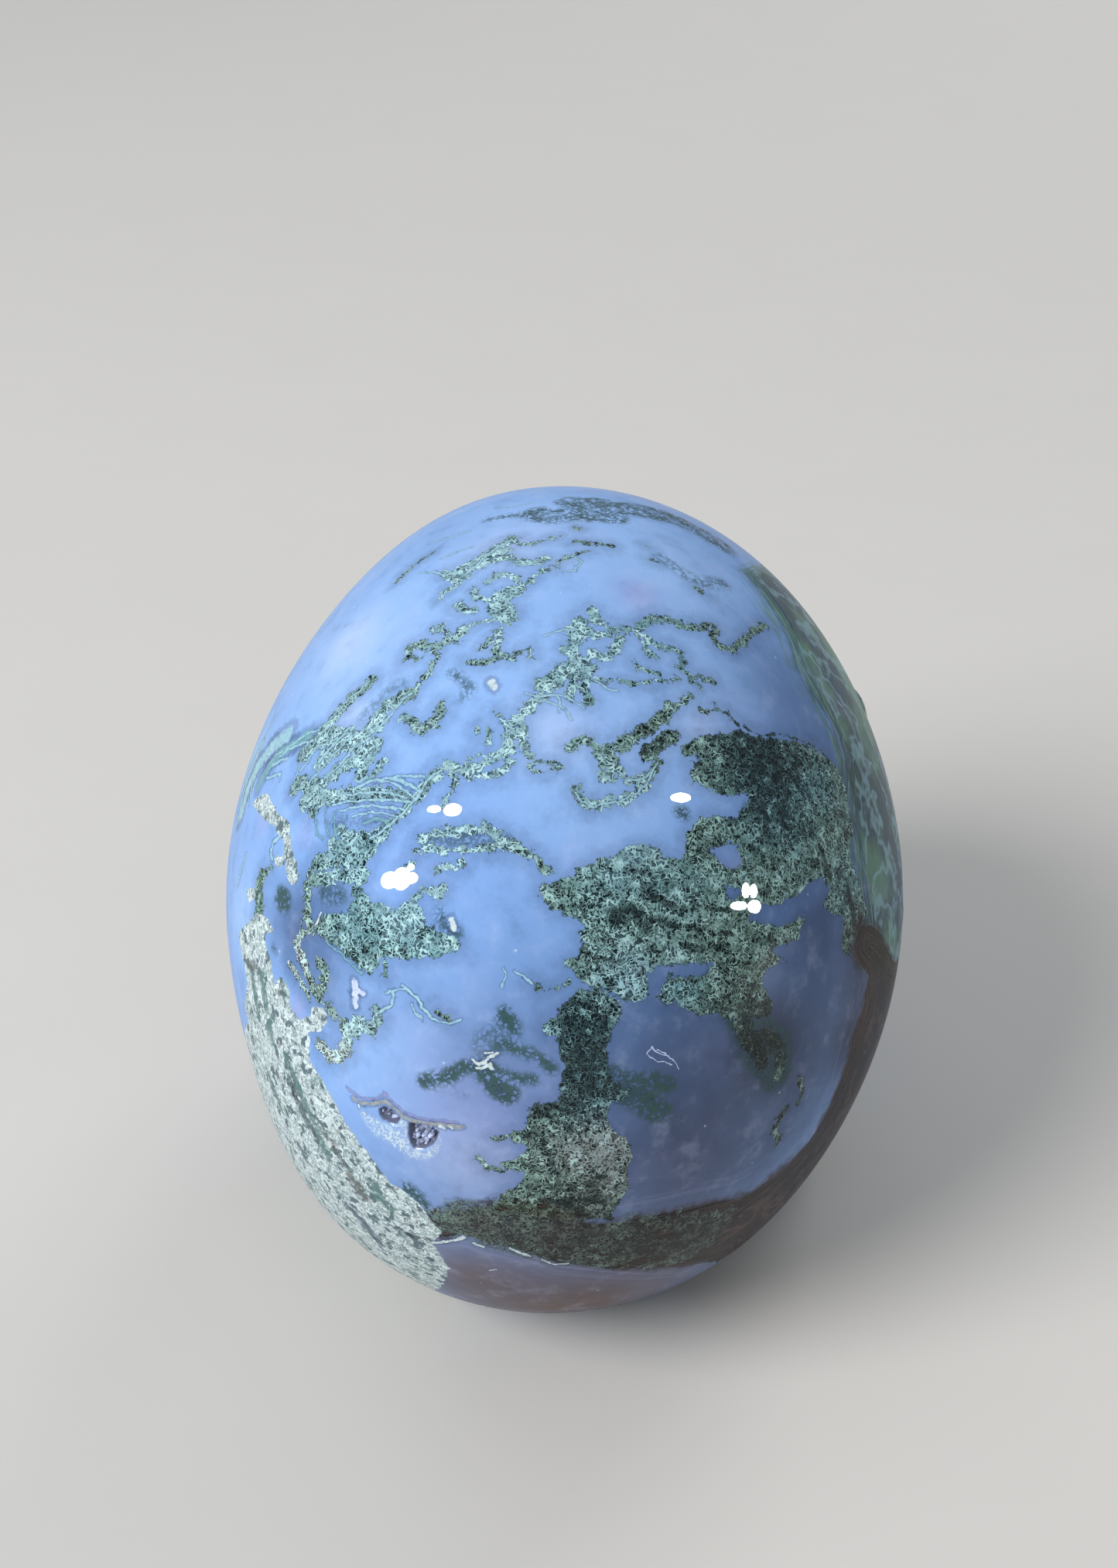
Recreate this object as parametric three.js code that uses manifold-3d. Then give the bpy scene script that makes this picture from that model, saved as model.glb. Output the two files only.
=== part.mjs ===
// A skull carved from one piece of moss agate, polished all over, standing on a flat cut under
// its jaw and the back of its head. Millimetres, +Z up. The face looks along -Y, X runs across it,
// and the origin is on the base, below the middle of the carving.

import * as THREE from "three";
import { mergeVertices } from "three/addons/utils/BufferGeometryUtils.js";
import Module from "manifold-3d";

const wasm = await Module();
wasm.setup();

// The driving dimensions of the stone.
const WIDTH = 70; // across the widest part of the cranium
const HEIGHT = 80.8; // from the base to the crown
const BACK = 47.3; // from the origin to the back of the head
const BROW = 41.2; // from the origin forwards to the forehead

// The cranium is an egg-shaped mass, and the base cuts off the lowest part of it.
const CRANIUM_HALF_HEIGHT = 42.2;
const CRANIUM = {
  centre: [0, (BACK - BROW) / 2, HEIGHT - CRANIUM_HALF_HEIGHT],
  half: [WIDTH / 2, (BACK + BROW) / 2, CRANIUM_HALF_HEIGHT],
};
// The cranium is a little slimmer towards the crown than towards the base.
const SLIMMER_TO_THE_CROWN = 0.031;
// It was cut by hand, so it swells or dips slightly in a few places, by this many millimetres.
const HAND_CUT = [
  { centre: [31, 24, 30], reach: 16, swell: -1.2 },
  { centre: [-35, 5, 40], reach: 20, swell: 0.6 },
  { centre: [-21, 27, 10], reach: 15, swell: 0.3 },
  { centre: [13, -11, 75], reach: 14, swell: 0.8 },
];

// Bowls that make the cranium slimmer before the face is added. A blend is how softly each shape
// flows into the rest, and turns, in degrees, are about Z and then about Y.
const HOLLOWS = [
  { centre: [37, -29, 15.5], half: [15.5, 20, 13], turns: [0, 0], blend: 7 }, // cheeks
  { centre: [39.5, -27, 46], half: [10.5, 17, 13], turns: [0, 0], blend: 7 }, // temples
];

// Rounded masses of the face and jaws.
const MASSES = [
  { centre: [0, -26, 21], half: [17.5, 18, 13], turns: [0, 0], blend: 6 }, // upper jaw
  { centre: [0, -30, 34], half: [21, 13.5, 14.5], turns: [0, 0], blend: 6 }, // middle of the face
  { centre: [22.5, -30, 29.5], half: [8, 8.5, 6], turns: [0, 0], blend: 6 }, // cheekbones
  { centre: [0, -27, 7], half: [17.5, 17.5, 9], turns: [0, 0], blend: 5 }, // front of the lower jaw
  { centre: [0, -37.5, 4.5], half: [13, 8.5, 6], turns: [0, 0], blend: 5 }, // chin
  { centre: [20, -20, 8], half: [5, 19, 8.5], turns: [-18, 0], blend: 6 }, // sides of the lower jaw
  { centre: [24, -8, 17], half: [5.5, 7.5, 14], turns: [0, 0], blend: 7 }, // jaw, up to the ears
  { centre: [0, -42.5, 41], half: [3.4, 4.5, 8], turns: [0, 0], blend: 3.5 }, // bridge of the nose
];

// Rounded ridges, each along a straight line.
const RIDGES = [
  { from: [2, -40.5, 46], to: [14, -38.2, 49], radius: 4, blend: 6 }, // inner brows
  { from: [14, -38.2, 49], to: [24.5, -29.5, 44.5], radius: 3.8, blend: 6 }, // outer brows
  { from: [24.5, -29.5, 44.5], to: [25, -29, 32], radius: 3.6, blend: 6 }, // outer eye rims
  { from: [25, -27, 30.5], to: [30.6, -7, 33.5], radius: 3.2, blend: 6 }, // arches of the cheeks
];

// Bowls carved into the face, with the number of segments round each bowl and through its depth.
const SOCKETS = [
  { centre: [14.6, -43, 38.6], half: [9.6, 16, 8.6], turns: [12, 16], segments: [28, 14] }, // eyes
  { centre: [2.6, -46, 26.6], half: [3.9, 12, 4.9], turns: [4, -20], segments: [16, 10] }, // nose
];
const NOSE_ROOT = { centre: [0, -46, 31], half: [3.6, 11, 6.8], segments: [16, 10] };

// Two rows of teeth stand on an oval arch round the jaws.
const ARCH = { centre: [0, -28.2], half: [16.6, 16] };
const TEETH_PER_SIDE = 5;
const TOOTH_STEP = 14.5; // degrees round the arch from one tooth to the next
const UPPER_ROW = { height: 16.4, half: [2.2, 2.2, 4.2] };
const LOWER_ROW = { height: 9.2, half: [2.05, 2.1, 3.5] };
const TOOTH_SEGMENTS = [8, 6];
const TOOTH_SQUARENESS = 3; // 2 would be an oval, and higher values are squarer

// The surface is found along a net of rays. Each one runs outwards between two boxes, from a point
// on the inner box, which lies inside the stone, through the same point of the outer box. Both
// boxes are given at their front and back, and the front squares of the net cover the face.
const INNER = { y: [-14, 14], halfWidth: [15, 12], bottom: [12, 28], top: [47, 52] };
const OUTER = { y: [-50, 50], halfWidth: [34, 34], bottom: [-4, 10], top: [58, 76] };
const SQUARES_ACROSS = 26;
const SQUARES_DEEP = 14;
const CLOSER_TO_THE_FACE = 0.25; // moves the squares of the sides towards the face
const REACH = 80;
const STEPS = 160; // coarse steps along a ray, to find where it leaves the stone
const HALVINGS = 20;

// Distance from a point to an ellipsoid, near its surface, in millimetres.
function toEllipsoid([x, y, z], [cx, cy, cz], [a, b, c]) {
  const [u, v, w] = [x - cx, y - cy, z - cz];
  const near = Math.hypot(u / a, v / b, w / c);
  const slope = Math.hypot(u / (a * a), v / (b * b), w / (c * c));
  return slope > 0 ? (near * (near - 1)) / slope : -Math.min(a, b, c);
}

// Distance from a point to a ridge.
function toRidge(point, { from, to, radius }) {
  const along = to.map((value, i) => value - from[i]);
  const offset = point.map((value, i) => value - from[i]);
  const length = along.reduce((sum, value) => sum + value * value, 0);
  const share = along.reduce((sum, value, i) => sum + value * offset[i], 0) / length;
  const held = Math.min(1, Math.max(0, share));
  return Math.hypot(...offset.map((value, i) => value - along[i] * held)) - radius;
}

// Turns a point back about a centre: first about Z, then about Y.
function turnBack([x, y, z], [cx, cy, cz], turns) {
  const [aboutZ, aboutY] = turns.map(THREE.MathUtils.degToRad);
  const [u, v, w] = [x - cx, y - cy, z - cz];
  const [cosZ, sinZ] = [Math.cos(aboutZ), Math.sin(aboutZ)];
  const [p, q] = [u * cosZ + v * sinZ, v * cosZ - u * sinZ];
  const [cosY, sinY] = [Math.cos(aboutY), Math.sin(aboutY)];
  return [cx + p * cosY - w * sinY, cy + q, cz + w * cosY + p * sinY];
}

// The smaller of two distances, rounded where they are alike.
function softMin(a, b, blend) {
  const h = Math.max(blend - Math.abs(a - b), 0) / blend;
  return Math.min(a, b) - (h * h * blend) / 4;
}

// Distance from a point to the form before its sockets, teeth and base: negative inside.
function toCarving(x, y, z) {
  const point = [Math.abs(x), y, z];
  const slimmer = 1 - (SLIMMER_TO_THE_CROWN * (z - CRANIUM.centre[2])) / CRANIUM_HALF_HEIGHT;
  let distance = toEllipsoid([x / slimmer, y, z], CRANIUM.centre, CRANIUM.half);
  for (const { centre, reach, swell } of HAND_CUT) {
    const away = Math.hypot(x - centre[0], y - centre[1], z - centre[2]) / reach;
    distance -= swell * Math.exp(-away * away);
  }
  const toTurned = ({ centre, half, turns }) =>
    toEllipsoid(turnBack(point, centre, turns), centre, half);
  for (const hollow of HOLLOWS)
    distance = -softMin(-distance, toTurned(hollow), hollow.blend);
  for (const mass of MASSES)
    distance = softMin(distance, toTurned(mass), mass.blend);
  for (const ridge of RIDGES)
    distance = softMin(distance, toRidge(point, ridge), ridge.blend);
  return distance;
}

// The point of one of the two boxes that belongs to a corner of the net.
function onBox(box, u, v, w) {
  const at = ([front, back]) => THREE.MathUtils.lerp(front, back, (v + 1) / 2);
  const z = THREE.MathUtils.lerp(at(box.bottom), at(box.top), (w + 1) / 2);
  return new THREE.Vector3(u * at(box.halfWidth), at(box.y), z);
}

// The point where the ray of a corner of the net last leaves the stone.
function surfaceAt(corner) {
  const deep = corner.y + CLOSER_TO_THE_FACE * (corner.y * corner.y - 1);
  const start = onBox(INNER, corner.x, deep, corner.z);
  const direction = onBox(OUTER, corner.x, deep, corner.z).sub(start).normalize();
  const along = (length) => start.clone().addScaledVector(direction, length);
  const isInside = (length) => toCarving(...along(length)) < 0;
  let outside = REACH;
  while (outside > 0 && !isInside(outside - REACH / STEPS)) outside -= REACH / STEPS;
  let inside = outside - REACH / STEPS;
  for (let i = 0; i < HALVINGS; i++) {
    const middle = (inside + outside) / 2;
    if (isInside(middle)) inside = middle;
    else outside = middle;
  }
  return along(inside);
}

// A closed geometry as a solid that can be joined and cut.
function solidOf(geometry) {
  const bare = geometry.clone();
  bare.deleteAttribute("normal");
  bare.deleteAttribute("uv");
  const merged = mergeVertices(bare, 1e-4);
  return new wasm.Manifold(
    new wasm.Mesh({
      numProp: 3,
      vertProperties: merged.getAttribute("position").array,
      triVerts: new Uint32Array(merged.index.array),
    }),
  );
}

function geometryOf(solid) {
  const mesh = solid.getMesh();
  const geometry = new THREE.BufferGeometry();
  geometry.setAttribute("position", new THREE.BufferAttribute(mesh.vertProperties, 3));
  geometry.setIndex(new THREE.BufferAttribute(mesh.triVerts, 1));
  geometry.computeVertexNormals();
  return geometry;
}

// The head and jaws, with the net drawn onto the carved form.
function headSolid() {
  const box = new THREE.BoxGeometry(2, 2, 2, SQUARES_ACROSS, SQUARES_DEEP, SQUARES_ACROSS);
  const corners = box.getAttribute("position");
  const corner = new THREE.Vector3();
  for (let i = 0; i < corners.count; i++) {
    corner.fromBufferAttribute(corners, i);
    corners.setXYZ(i, ...surfaceAt(corner));
  }
  return solidOf(box);
}

// One tooth: a squarish rounded crown set on the arch and turned to follow it.
function toothSolid(row, degrees) {
  const turn = THREE.MathUtils.degToRad(degrees);
  const crown = new THREE.SphereGeometry(1, ...TOOTH_SEGMENTS);
  const corners = crown.getAttribute("position");
  const corner = new THREE.Vector3();
  for (let i = 0; i < corners.count; i++) {
    corner.fromBufferAttribute(corners, i);
    const size = corner.toArray().reduce((sum, v) => sum + Math.abs(v) ** TOOTH_SQUARENESS, 0);
    corners.setXYZ(i, ...corner.divideScalar(size ** (1 / TOOTH_SQUARENESS)));
  }
  crown.rotateX(Math.PI / 2);
  crown.scale(...row.half);
  crown.rotateZ(turn);
  crown.translate(
    ARCH.centre[0] + ARCH.half[0] * Math.sin(turn),
    ARCH.centre[1] - ARCH.half[1] * Math.cos(turn),
    row.height,
  );
  return solidOf(crown);
}

// One bowl to be carved out, on the right or the left of the face.
function bowlSolid({ centre, half, turns = [0, 0], segments }, side = 1) {
  const [aboutZ, aboutY] = turns.map((turn) => side * THREE.MathUtils.degToRad(turn));
  const bowl = new THREE.SphereGeometry(1, ...segments);
  bowl.scale(...half);
  bowl.rotateY(aboutY).rotateZ(aboutZ);
  bowl.translate(side * centre[0], centre[1], centre[2]);
  return solidOf(bowl);
}

// Everything below the base plane, to be cut away.
function belowBase() {
  const size = 2 * REACH;
  return solidOf(new THREE.BoxGeometry(size, size, size).translate(0, 0, -size / 2));
}

function skullGeometry() {
  let skull = headSolid().subtract(bowlSolid(NOSE_ROOT));
  for (const socket of SOCKETS)
    for (const side of [-1, 1])
      skull = skull.subtract(bowlSolid(socket, side));
  for (const row of [UPPER_ROW, LOWER_ROW])
    for (let tooth = 0; tooth < TEETH_PER_SIDE; tooth++)
      for (const side of [-1, 1])
        skull = skull.add(toothSolid(row, side * (tooth + 0.5) * TOOTH_STEP));
  return geometryOf(skull.subtract(belowBase()));
}

const mossAgate = new THREE.MeshStandardMaterial({
  name: "moss agate",
  color: 0x7d95cf,
  roughness: 0.08,
  metalness: 0,
});

const skull = new THREE.Mesh(skullGeometry(), mossAgate);
skull.name = "skull";

const carving = new THREE.Group();
carving.add(skull);

export default carving;
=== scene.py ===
import math

import bpy
import numpy as np
from bpy.props import FloatProperty, FloatVectorProperty, PointerProperty
from bpy.types import Operator, Panel, PropertyGroup
from mathutils import Matrix, Vector


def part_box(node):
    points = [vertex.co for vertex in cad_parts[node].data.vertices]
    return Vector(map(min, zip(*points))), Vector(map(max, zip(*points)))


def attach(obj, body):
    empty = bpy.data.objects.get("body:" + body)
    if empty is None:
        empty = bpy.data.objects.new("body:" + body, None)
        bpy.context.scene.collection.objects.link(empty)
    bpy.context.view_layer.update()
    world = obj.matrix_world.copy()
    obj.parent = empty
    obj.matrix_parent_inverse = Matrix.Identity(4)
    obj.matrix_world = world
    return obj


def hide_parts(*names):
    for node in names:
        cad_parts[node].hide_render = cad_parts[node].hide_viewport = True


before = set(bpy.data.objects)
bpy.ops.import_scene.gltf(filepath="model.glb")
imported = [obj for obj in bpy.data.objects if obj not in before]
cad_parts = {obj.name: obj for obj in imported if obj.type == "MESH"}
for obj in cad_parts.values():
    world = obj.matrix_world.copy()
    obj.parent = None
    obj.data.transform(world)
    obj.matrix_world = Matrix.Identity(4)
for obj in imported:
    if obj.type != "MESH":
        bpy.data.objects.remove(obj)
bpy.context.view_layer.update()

bl_info = {
    "name": "Moss Agate Skull Carving",
    "version": (1, 0, 0),
    "blender": (4, 5, 0),
    "location": "3D View > Sidebar > Stone Carving",
    "description": "Makes a polished skull carved from one piece of moss agate, on a plain studio floor",
    "category": "Add Mesh",
}

MM = 0.001

# The form of the carving, in millimetres, with the same values as the solid.
WIDTH = 70.0
HEIGHT = 80.8
BACK = 47.3
BROW = 41.2
CRANIUM_HALF_HEIGHT = 42.2
CRANIUM_CENTRE = (0.0, (BACK - BROW) / 2, HEIGHT - CRANIUM_HALF_HEIGHT)
CRANIUM_HALF = (WIDTH / 2, (BACK + BROW) / 2, CRANIUM_HALF_HEIGHT)
SLIMMER_TO_THE_CROWN = 0.031

# Where hand cutting left the cranium slightly fuller or flatter: centre, reach and swell.
HAND_CUT = [
    ((31, 24, 30), 16, -1.2),
    ((-35, 5, 40), 20, 0.6),
    ((-21, 27, 10), 15, 0.3),
    ((13, -11, 75), 14, 0.8),
]

# Rounded shapes: centre, half sizes, turns about Z and then Y in degrees, and blend.
HOLLOWS = [
    ((37, -29, 15.5), (15.5, 20, 13), (0, 0), 7),
    ((39.5, -27, 46), (10.5, 17, 13), (0, 0), 7),
]
MASSES = [
    ((0, -26, 21), (17.5, 18, 13), (0, 0), 6),
    ((0, -30, 34), (21, 13.5, 14.5), (0, 0), 6),
    ((22.5, -30, 29.5), (8, 8.5, 6), (0, 0), 6),
    ((0, -27, 7), (17.5, 17.5, 9), (0, 0), 5),
    ((0, -37.5, 4.5), (13, 8.5, 6), (0, 0), 5),
    ((20, -20, 8), (5, 19, 8.5), (-18, 0), 6),
    ((24, -8, 17), (5.5, 7.5, 14), (0, 0), 7),
    ((0, -42.5, 41), (3.4, 4.5, 8), (0, 0), 3.5),
]
# Rounded ridges: from, to, radius and blend.
RIDGES = [
    ((2, -40.5, 46), (14, -38.2, 49), 4, 6),
    ((14, -38.2, 49), (24.5, -29.5, 44.5), 3.8, 6),
    ((24.5, -29.5, 44.5), (25, -29, 32), 3.6, 6),
    ((25, -27, 30.5), (30.6, -7, 33.5), 3.2, 6),
]
SOCKETS = [
    ((14.6, -43, 38.6), (9.6, 16, 8.6), (12, 16), 1.2),
    ((2.6, -46, 26.6), (3.9, 12, 4.9), (4, -20), 0.8),
    ((0, -46, 31), (3.6, 11, 6.8), (0, 0), 0.8),
]
ARCH_CENTRE = (0, -28.2)
ARCH_HALF = (16.6, 16)
TEETH_PER_SIDE = 5
TOOTH_STEP = 14.5
TOOTH_ROWS = [(16.4, (2.2, 2.2, 4.2)), (9.2, (2.05, 2.1, 3.5))]
TOOTH_SQUARENESS = 3
TOOTH_BLEND = 0.35
BASE_ROUNDING = 1.2

# The net of rays that the surface is found along. Each box is given by the depth and height of
# its four edges across: front and low, front and high, back and low, back and high. The back of
# the outer one bulges in its middle, by so much in depth and height.
INNER = {"half": (15, 12), "edges": ((-14, 12), (-14, 47), (10, 24), (2, 50)), "bulge": (0, 0)}
OUTER = {"half": (34, 34), "edges": ((-50, -4), (-50, 58), (34, -4), (-18, 90)), "bulge": (30, 17)}
REACH = 80.0
TRACE_STEPS = 40
TRACE_SHARE = 0.8
CUTS_ALL_ROUND = 74
CUTS_AT_THE_BACK = 2
CUTS_AT_THE_FACE = 1
CUTS_AT_POCKETS = 2
FINER_ROUND_POCKETS = 0.8

# The frame of the photograph, in pixels, and its camera. Lengths are in millimetres.
PHOTO_SIZE = (1445, 2027)
FOCAL_LENGTH = 52.0
SENSOR = 36.0
CAMERA_TURN = -9.9
CAMERA_RISE = 30.0
CAMERA_DISTANCE = 236.4
AIM_HEIGHT = 50.4
AIM_ASIDE = 12.0
PIXEL = 0.079
FOCAL_PX = FOCAL_LENGTH / SENSOR * PHOTO_SIZE[1]

# ---------------------------------------------------------------------------------------------
# Markings. Places are pixels of the photograph, and widths are half widths in its pixels.
# ---------------------------------------------------------------------------------------------

# Moss in broken lines and small clusters.
SPRAYS = [
    # On the crown, to the left.
    (5, [(513, 752), (523, 742), (540, 727), (556, 717)]),
    (9, [(575, 742), (590, 750), (603, 742), (625, 722), (640, 710), (650, 703), (662, 697)]),
    (15, [(588, 744), (606, 733), (626, 724), (646, 712)]),
    (13, [(648, 772), (662, 764)]),
    (4, [(662, 697), (672, 704), (690, 702), (705, 698), (722, 694)]),
    (7, [(625, 722), (640, 724), (655, 720), (672, 727), (690, 728), (705, 722)]),
    (3, [(720, 728), (740, 718), (760, 712)]),
    (5, [(600, 745), (590, 757), (575, 765), (570, 773)]),
    (6, [(630, 752), (640, 745), (655, 742), (668, 748), (675, 758), (660, 770)]),
    (6, [(660, 770), (645, 773), (630, 776), (617, 772), (612, 763)]),
    (5, [(672, 762), (685, 752), (690, 745), (700, 738), (716, 734)]),
    (7, [(590, 783), (600, 788), (612, 790)]),
    (15, [(644, 784), (655, 796)]),
    (6, [(632, 775), (645, 790), (655, 805)]),
    (4, [(630, 800), (645, 802), (660, 808)]),
    (4, [(600, 815), (612, 808), (625, 804), (640, 800)]),
    (5, [(560, 815), (570, 811), (578, 820)]),
    (8, [(525, 850), (530, 838), (545, 832), (560, 838), (575, 830), (590, 825), (598, 815)]),
    (5, [(560, 838), (565, 850), (558, 862), (550, 875)]),
    (4, [(525, 850), (540, 852)]),
    (5, [(648, 812), (640, 822), (625, 838)]),
    (6, [(635, 828), (645, 820), (641, 840), (650, 848)]),
    (5, [(605, 855), (625, 858), (645, 850), (665, 850)]),
    (5, [(665, 850), (672, 842), (682, 840), (686, 848)]),
    # Small pieces on the crown.
    (5, [(744, 700), (760, 702), (775, 703), (790, 706)]),
    (4, [(744, 682), (750, 684)]),
    (3, [(835, 706), (840, 708)]),
    (4, [(842, 724), (850, 727)]),
    (4, [(898, 760), (908, 766)]),
    # The forked cluster above the middle.
    (9, [(765, 790), (770, 800), (780, 808)]),
    (10, [(740, 815), (750, 805), (757, 815), (745, 825), (737, 840), (745, 855), (760, 865)]),
    (8, [(765, 845), (780, 850), (795, 840), (800, 825)]),
    (7, [(770, 822), (780, 820), (795, 815)]),
    (13, [(752, 860), (735, 865), (720, 875), (705, 885)]),
    (8, [(745, 870), (740, 890), (735, 900)]),
    (8, [(760, 870), (755, 890), (760, 905)]),
    (5, [(765, 878), (778, 880), (790, 880)]),
    # The spray to its right.
    (7, [(810, 815), (825, 812), (840, 800), (860, 800), (880, 808), (900, 812)]),
    (6, [(825, 820), (838, 826), (835, 840), (845, 848)]),
    (6, [(850, 835), (870, 838), (880, 845), (885, 858)]),
    (4, [(815, 855), (825, 865), (850, 870)]),
    (4, [(800, 880), (820, 885), (845, 880), (875, 878)]),
    (5, [(875, 862), (895, 875), (920, 880)]),
    (3, [(893, 880), (905, 887)]),
    (6, [(907, 813), (915, 808), (925, 812), (920, 822), (930, 835), (945, 840)]),
    (6, [(945, 840), (960, 830), (975, 815), (990, 808)]),
    # The curtain on the left.
    (10, [(480, 880), (470, 890), (458, 898), (450, 908), (440, 918), (428, 932), (415, 946)]),
    (11, [(530, 896), (515, 904), (500, 914), (490, 926), (482, 938), (468, 952)]),
    (12, [(488, 930), (492, 934)]),
    (5, [(514, 930), (521, 928)]),
    (8, [(528, 930), (545, 942), (560, 935), (568, 926), (570, 914)]),
    (5, [(535, 893), (543, 882), (549, 873)]),
    (14, [(392, 975), (405, 962), (425, 952), (445, 955), (460, 962)]),
    (13, [(415, 985), (430, 970), (445, 962), (455, 950)]),
    (11, [(412, 1018), (430, 1000), (445, 990), (460, 982), (472, 972), (485, 962)]),
    (10, [(468, 1002), (470, 985), (480, 975)]),
    (7, [(476, 1008), (486, 998), (492, 988), (498, 984)]),
    (11, [(380, 1018), (392, 1012), (400, 1022), (408, 1012)]),
    (11, [(392, 1038), (402, 1030), (412, 1035), (405, 1048)]),
    (11, [(420, 1030), (440, 1028), (462, 1028), (485, 1026)]),
    (8, [(485, 1026), (505, 1027), (525, 1032)]),
    (8, [(572, 996), (562, 1000), (552, 1010), (546, 1020), (538, 1032)]),
    (7, [(538, 1032), (530, 1042), (518, 1054), (505, 1064), (494, 1074)]),
    (10, [(438, 1074), (450, 1082), (468, 1086), (484, 1084), (494, 1076)]),
    (11, [(432, 1092), (448, 1100), (462, 1108), (478, 1100)]),
    (12, [(410, 1118), (425, 1112), (440, 1106), (455, 1112), (466, 1124)]),
    (10, [(402, 1132), (418, 1138), (435, 1132), (452, 1132), (468, 1134)]),
    (8, [(462, 1140), (462, 1156), (470, 1166)]),
    (13, [(338, 1134), (334, 1150), (336, 1172), (331, 1192)]),
    (5, [(350, 1120), (343, 1130)]),
    # The chain that joins the curtain to the forked cluster.
    (4, [(570, 1006), (576, 1001), (586, 1003), (590, 1011), (586, 1021), (578, 1030), (574, 1040)]),
    (7, [(578, 990), (592, 994), (606, 997), (622, 990), (640, 980), (654, 975)]),
    (5, [(654, 975), (660, 984), (652, 996), (640, 1001), (624, 1003), (608, 1006)]),
    (4, [(606, 979), (614, 977)]),
    (8, [(656, 973), (656, 952), (664, 936), (680, 916), (700, 900)]),
    (7, [(673, 935), (674, 958), (682, 975)]),
    (4, [(645, 920), (650, 934)]),
    (4, [(615, 940), (621, 954)]),
    (4, [(632, 945), (633, 960)]),
    (4, [(686, 991), (702, 986), (722, 985)]),
    (4, [(690, 996), (708, 996), (726, 990)]),
    # The comb below the small lights.
    (5, [(535, 1100), (550, 1096), (575, 1100), (610, 1098), (650, 1096), (670, 1100)]),
    (7, [(545, 1085), (570, 1076), (600, 1073), (630, 1071), (645, 1079)]),
    (6, [(645, 1082), (665, 1091), (680, 1101), (692, 1111), (706, 1125)]),
    (5, [(565, 1124), (569, 1118), (585, 1121), (598, 1116)]),
    (5, [(524, 1121), (533, 1117)]),
    # The hook and its arc.
    (7, [(745, 1020), (750, 1035), (760, 1042), (775, 1041), (790, 1036), (806, 1034)]),
    (7, [(806, 1034), (822, 1025), (836, 1014), (842, 1000), (850, 985)]),
    (6, [(800, 996), (812, 1008), (825, 1008), (838, 1000)]),
    (7, [(735, 965), (755, 957), (770, 965), (780, 985), (781, 1005)]),
    (9, [(786, 970), (792, 988), (788, 1004)]),
    (9, [(800, 965), (820, 951), (840, 941), (855, 930), (866, 914)]),
    (11, [(838, 976), (850, 962), (868, 952)]),
    (5, [(868, 922), (884, 906), (891, 899)]),
    (4, [(902, 918), (912, 921), (925, 915), (940, 922), (948, 932), (953, 936)]),
    (3, [(962, 940), (972, 946), (985, 951), (1005, 949), (1030, 956), (1050, 964), (1070, 980)]),
    # Below the left patch.
    (8, [(398, 1146), (397, 1165), (396, 1185), (402, 1202)]),
    (8, [(392, 1205), (384, 1222), (390, 1238), (396, 1256), (402, 1270), (408, 1284)]),
    (8, [(412, 1244), (420, 1256), (418, 1272), (412, 1290)]),
    (5, [(374, 1244), (381, 1256), (392, 1276), (400, 1290)]),
    (7, [(424, 1300), (432, 1312)]),
    (10, [(445, 1324), (455, 1331), (465, 1323), (478, 1331), (487, 1320), (487, 1309)]),
    (10, [(446, 1328), (448, 1342), (446, 1356), (436, 1366), (424, 1364), (414, 1352)]),
    (6, [(540, 1160), (548, 1151), (558, 1154), (566, 1158), (572, 1148)]),
    (4, [(566, 1309), (573, 1313), (580, 1318)]),
    (3, [(688, 1270), (696, 1277), (708, 1280), (720, 1276), (734, 1268)]),
    (4, [(497, 1240), (499, 1254), (496, 1262)]),
    # Beside the trunk.
    (6, [(620, 1498), (630, 1508), (645, 1512)]),
    (5, [(642, 1472), (655, 1470), (668, 1468)]),
    (5, [(800, 1412), (812, 1410)]),
    (14, [(952, 1300), (958, 1318), (966, 1340), (978, 1352), (986, 1370)]),
    (11, [(990, 1335), (1004, 1348), (1010, 1366), (1006, 1388)]),
    (6, [(1034, 1394), (1036, 1410), (1032, 1424)]),
    (7, [(1016, 1434), (1006, 1446), (1002, 1462), (1006, 1474)]),
]

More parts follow.
